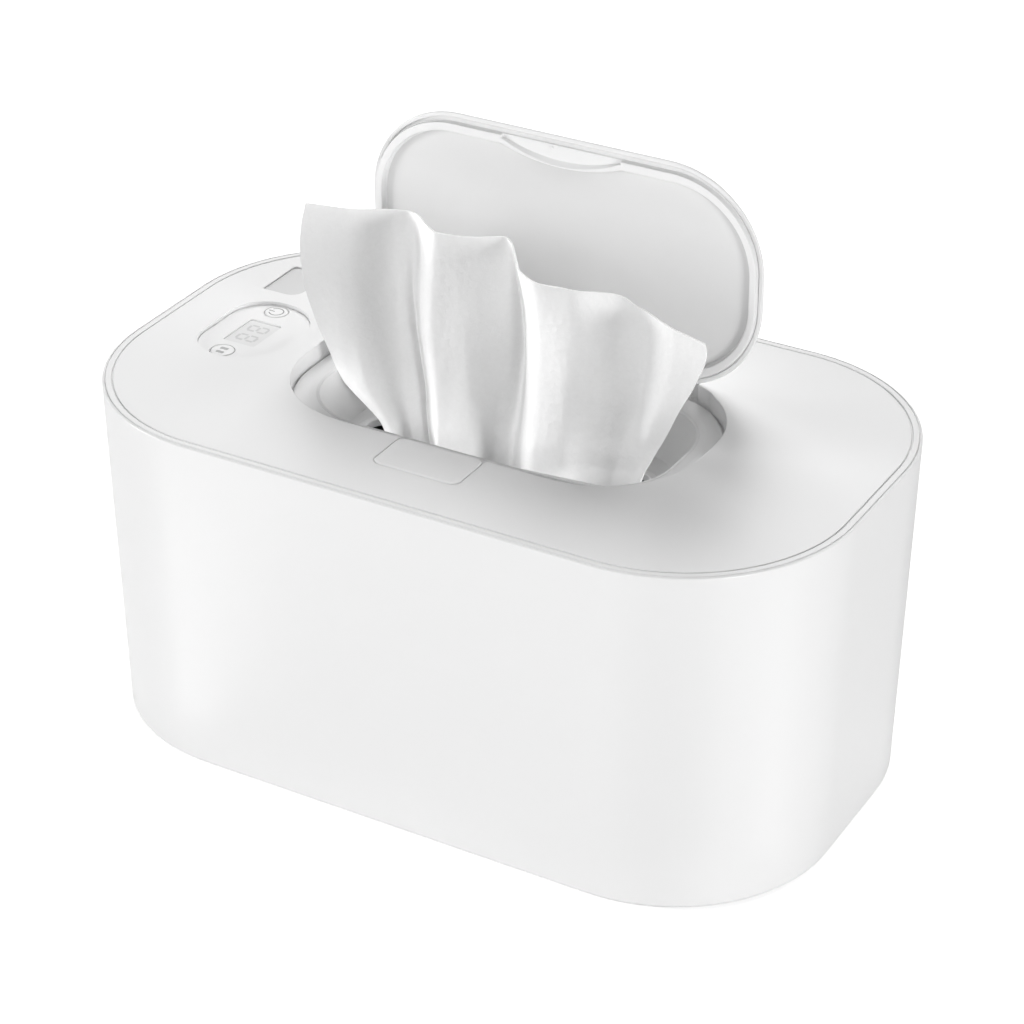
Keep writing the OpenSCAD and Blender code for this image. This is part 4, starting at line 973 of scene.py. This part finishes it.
for i in range(cols):
    for a in (i * across, i * across + rows):
        faces.append((a, a + across, sheet_n + a + across, sheet_n + a))
wipe_solid = Solid()
wipe_solid.verts, wipe_solid.faces = verts, faces
wipe = add("Wipe", wipe_solid, wipe_cloth, "cover", ["wipe"], sharp=80)
wipe.modifiers.clear()
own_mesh(wipe)

# Finish of the CAD pieces that stay
finishes = {
    "inner_white": moulded("part_white", (0.82, 0.82, 0.82), 0.5, edge=0.3),
    "tank_grey": moulded("tank_grey", (0.5, 0.51, 0.52), 0.5, relief=0.06, edge=0.4),
    "silicone": moulded("gasket_silicone", (0.75, 0.75, 0.74), 0.5, edge=0.3, soft=0.1),
    "foot_rubber": moulded("foot_rubber", (0.1, 0.1, 0.105), 0.75, relief=0.12, edge=0.4),
    "foam": moulded("foam", (0.07, 0.075, 0.08), 0.95, grain=1500, relief=0.6, spread=0.15, edge=0.5),
    "film": moulded("heater_film", (0.55, 0.25, 0.05), 0.3, relief=0.05, spread=0.08),
    "board_green": moulded("board_green", (0.015, 0.13, 0.06), 0.35, relief=0.05, spread=0.1, edge=0.2),
    "black_plastic": moulded("black_plastic", (0.02, 0.02, 0.022), 0.4, relief=0.08, spread=0.1, edge=0.2),
    "wire_red": moulded("wire_red", (0.5, 0.02, 0.015), 0.45, relief=0.05, spread=0.05),
    "steel": moulded("steel", (0.55, 0.55, 0.57), 0.28, relief=0.06, spread=0.04, metal=1.0, edge=0.1),
    "contact_brass": moulded("contact_brass", (0.75, 0.52, 0.2), 0.25, spread=0.05, metal=1.0, edge=0.1),
}
for part in frame["record"]["subparts"]:
    shown = frame["nodes"][part["node"]]
    if not shown.hide_render and part["material_slot"] in finishes:
        shown.data.materials.clear()
        shown.data.materials.append(finishes[part["material_slot"]])

# World: white to the camera and to mirrors, without light of its own
world = bpy.data.worlds.new("Studio")
bpy.context.scene.world = world
world.use_nodes = True
nodes, links = world.node_tree.nodes, world.node_tree.links
nodes.clear()
path = nodes.new("ShaderNodeLightPath")
seen = place(nodes, "ShaderNodeMath", operation="MAXIMUM")
seen_too = place(nodes, "ShaderNodeMath", operation="MAXIMUM")
plain = place(nodes, "ShaderNodeBackground", Color=(1, 1, 1, 1), Strength=1.0)
ambient = place(nodes, "ShaderNodeBackground", Color=(1, 1, 1, 1), Strength=0.0)
mix = nodes.new("ShaderNodeMixShader")
out = nodes.new("ShaderNodeOutputWorld")
links.new(path.outputs["Is Camera Ray"], seen.inputs[0])
links.new(path.outputs["Is Glossy Ray"], seen.inputs[1])
links.new(seen.outputs[0], seen_too.inputs[0])
links.new(path.outputs["Is Transmission Ray"], seen_too.inputs[1])
links.new(seen_too.outputs[0], mix.inputs["Fac"])
links.new(ambient.outputs[0], mix.inputs[1])
links.new(plain.outputs[0], mix.inputs[2])
links.new(mix.outputs[0], out.inputs["Surface"])

# Floor: pale, and lifted towards white for the camera alone, so that the object's shadow stays
floor_lift = 0.62
floor_reach = 0.8
floor_material, nodes, links, shader = material("floor_white")
shader.inputs["Roughness"].default_value = 0.8
shader.inputs["Specular IOR Level"].default_value = 0.1
grain = place(nodes, "ShaderNodeTexNoise", Scale=6.0, Detail=2.0)
tone = nodes.new("ShaderNodeMix")
tone.data_type = "RGBA"
tone.inputs["A"].default_value = (0.78, 0.78, 0.78, 1)
tone.inputs["B"].default_value = (0.8, 0.8, 0.8, 1)
links.new(grain.outputs["Fac"], tone.inputs["Factor"])
links.new(tone.outputs["Result"], shader.inputs["Base Color"])
path = nodes.new("ShaderNodeLightPath")
glow = place(nodes, "ShaderNodeEmission", Color=(1, 1, 1, 1))
lift = place(nodes, "ShaderNodeMath", operation="MULTIPLY")
lift.inputs[1].default_value = floor_lift
both = nodes.new("ShaderNodeAddShader")
links.new(path.outputs["Is Camera Ray"], lift.inputs[0])
links.new(lift.outputs[0], glow.inputs["Strength"])
links.new(shader.outputs[0], both.inputs[0])
links.new(glow.outputs[0], both.inputs[1])
links.new(both.outputs[0], nodes["Material Output"].inputs["Surface"])
floor_mesh = bpy.data.meshes.new("Floor")
floor_corners = [(x * floor_reach, y * floor_reach, 0) for x, y in ((-1, -1), (1, -1), (1, 1), (-1, 1))]
floor_mesh.from_pydata(floor_corners, [], [(0, 1, 2, 3)])
floor = bpy.data.objects.new("Floor", floor_mesh)
bpy.context.scene.collection.objects.link(floor)
floor_mesh.materials.append(floor_material)


lamp_aim = Vector((0, 0, 0.06))


def lamp(name, azimuth, elevation, distance, size, power):
    """Soft square lamp that looks at the object; azimuth 0 stands in front, 90 on the right."""
    data = bpy.data.lights.new(name, "AREA")
    data.shape = "SQUARE"
    data.size = size
    data.energy = power
    holder = bpy.data.objects.new(name, data)
    a, e = math.radians(azimuth), math.radians(elevation)
    away = Vector((math.sin(a) * math.cos(e), -math.cos(a) * math.cos(e), math.sin(e)))
    holder.location = lamp_aim + away * distance
    holder.rotation_euler = (lamp_aim - holder.location).to_track_quat("-Z", "Y").to_euler()
    bpy.context.scene.collection.objects.link(holder)
    return holder


def reach_of(holder, pieces, state, blockers=None):
    """Lets a lamp light only these pieces (INCLUDE) or all but them (EXCLUDE).

    Where blockers are given, they alone cast its shadow; an empty list means none.
    """
    group = bpy.data.collections.new(holder.name + "_reach")
    for piece in pieces:
        group.objects.link(piece)
    for entry in group.collection_objects:
        entry.light_linking.link_state = state
    holder.light_linking.receiver_collection = group
    if blockers:
        shade = bpy.data.collections.new(holder.name + "_shade")
        for piece in blockers:
            shade.objects.link(piece)
        holder.light_linking.blocker_collection = shade
    holder.data.use_shadow = blockers != []


def card(name, corners, strength):
    """Card on the floor, seen only as a reflection in glossy faces; strength 0 makes it dark."""
    made, nodes, links, shader = material(name)
    nodes.remove(shader)
    lit = place(nodes, "ShaderNodeEmission", Color=(1, 1, 1, 1), Strength=strength)
    links.new(lit.outputs[0], nodes["Material Output"].inputs["Surface"])
    mesh = bpy.data.meshes.new(name)
    mesh.from_pydata([(x * MM, y * MM, 0.001) for x, y in corners], [], [tuple(range(len(corners)))])
    piece = bpy.data.objects.new(name, mesh)
    bpy.context.scene.collection.objects.link(piece)
    mesh.materials.append(made)
    piece.visible_camera = False
    piece.visible_diffuse = False
    piece.visible_shadow = False


# Lamps and cards
lamp("Back_left", -150, 40, 1.4, 0.8, 10.1)
lamp("Back_right", 150, 40, 1.4, 0.8, 5)
reach_of(lamp("Left", -60, 10, 1.4, 0.5, 11.4), [wipe], "EXCLUDE")
reach_of(lamp("Right", 60, 10, 1.4, 0.4, 12), [wipe], "EXCLUDE")
reach_of(lamp("Tray_fill", -45, 30, 1.4, 0.5, 1.1), [tray, lips], "INCLUDE", [])
reach_of(lamp("Lid_fill", 35, 8, 1.4, 0.5, 4.2), [liner], "INCLUDE", [])
reach_of(lamp("Wipe_left", -85, 18, 1.4, 0.5, 20), [wipe], "INCLUDE", [wipe])
reach_of(lamp("Wipe_right", 90, 12, 1.4, 0.5, 15), [wipe], "INCLUDE", [wipe])
reach_of(lamp("Wipe_front", -12, 15, 1.4, 0.4, 8), [wipe], "INCLUDE", [])
lamp("Front", -30, 32, 1.5, 0.7, 3.6)
lamp("Fill", 25, 32, 1.5, 0.7, 1.6)
card("Card_right", [(119, -47), (273, -67), (273, 14), (119, -30)], 1.25)
card("Card_dark", [(62, -85), (112, -68), (215, -160), (50, -225)], 0.0)
card("Card_left", [(-85, -75), (-68, -81), (-145, -216), (-210, -168)], 2.1)

# Camera, fitted to the photo's outlines
camera_place = Vector((360.5, -631.83, 491.48)) * MM
camera_data = bpy.data.cameras.new("Camera")
camera_data.sensor_width = 36
camera_data.lens = 107.09
camera_data.clip_end = 20
camera = bpy.data.objects.new("Camera", camera_data)
bpy.context.scene.collection.objects.link(camera)
back = Vector((0.4263, -0.7514, 0.5036)).normalized()
azimuth = math.radians(29.569)
roll = math.radians(0.095)
level = Vector((math.cos(azimuth), math.sin(azimuth), 0))
plumb = back.cross(level)
right = level * math.cos(roll) + plumb * math.sin(roll)
up = plumb * math.cos(roll) - level * math.sin(roll)
camera.matrix_world = Matrix.Translation(camera_place) @ Matrix((right, up, back)).transposed().to_4x4()
bpy.context.scene.camera = camera
bpy.context.scene.view_settings.view_transform = "Standard"

bpy.context.view_layer.update()
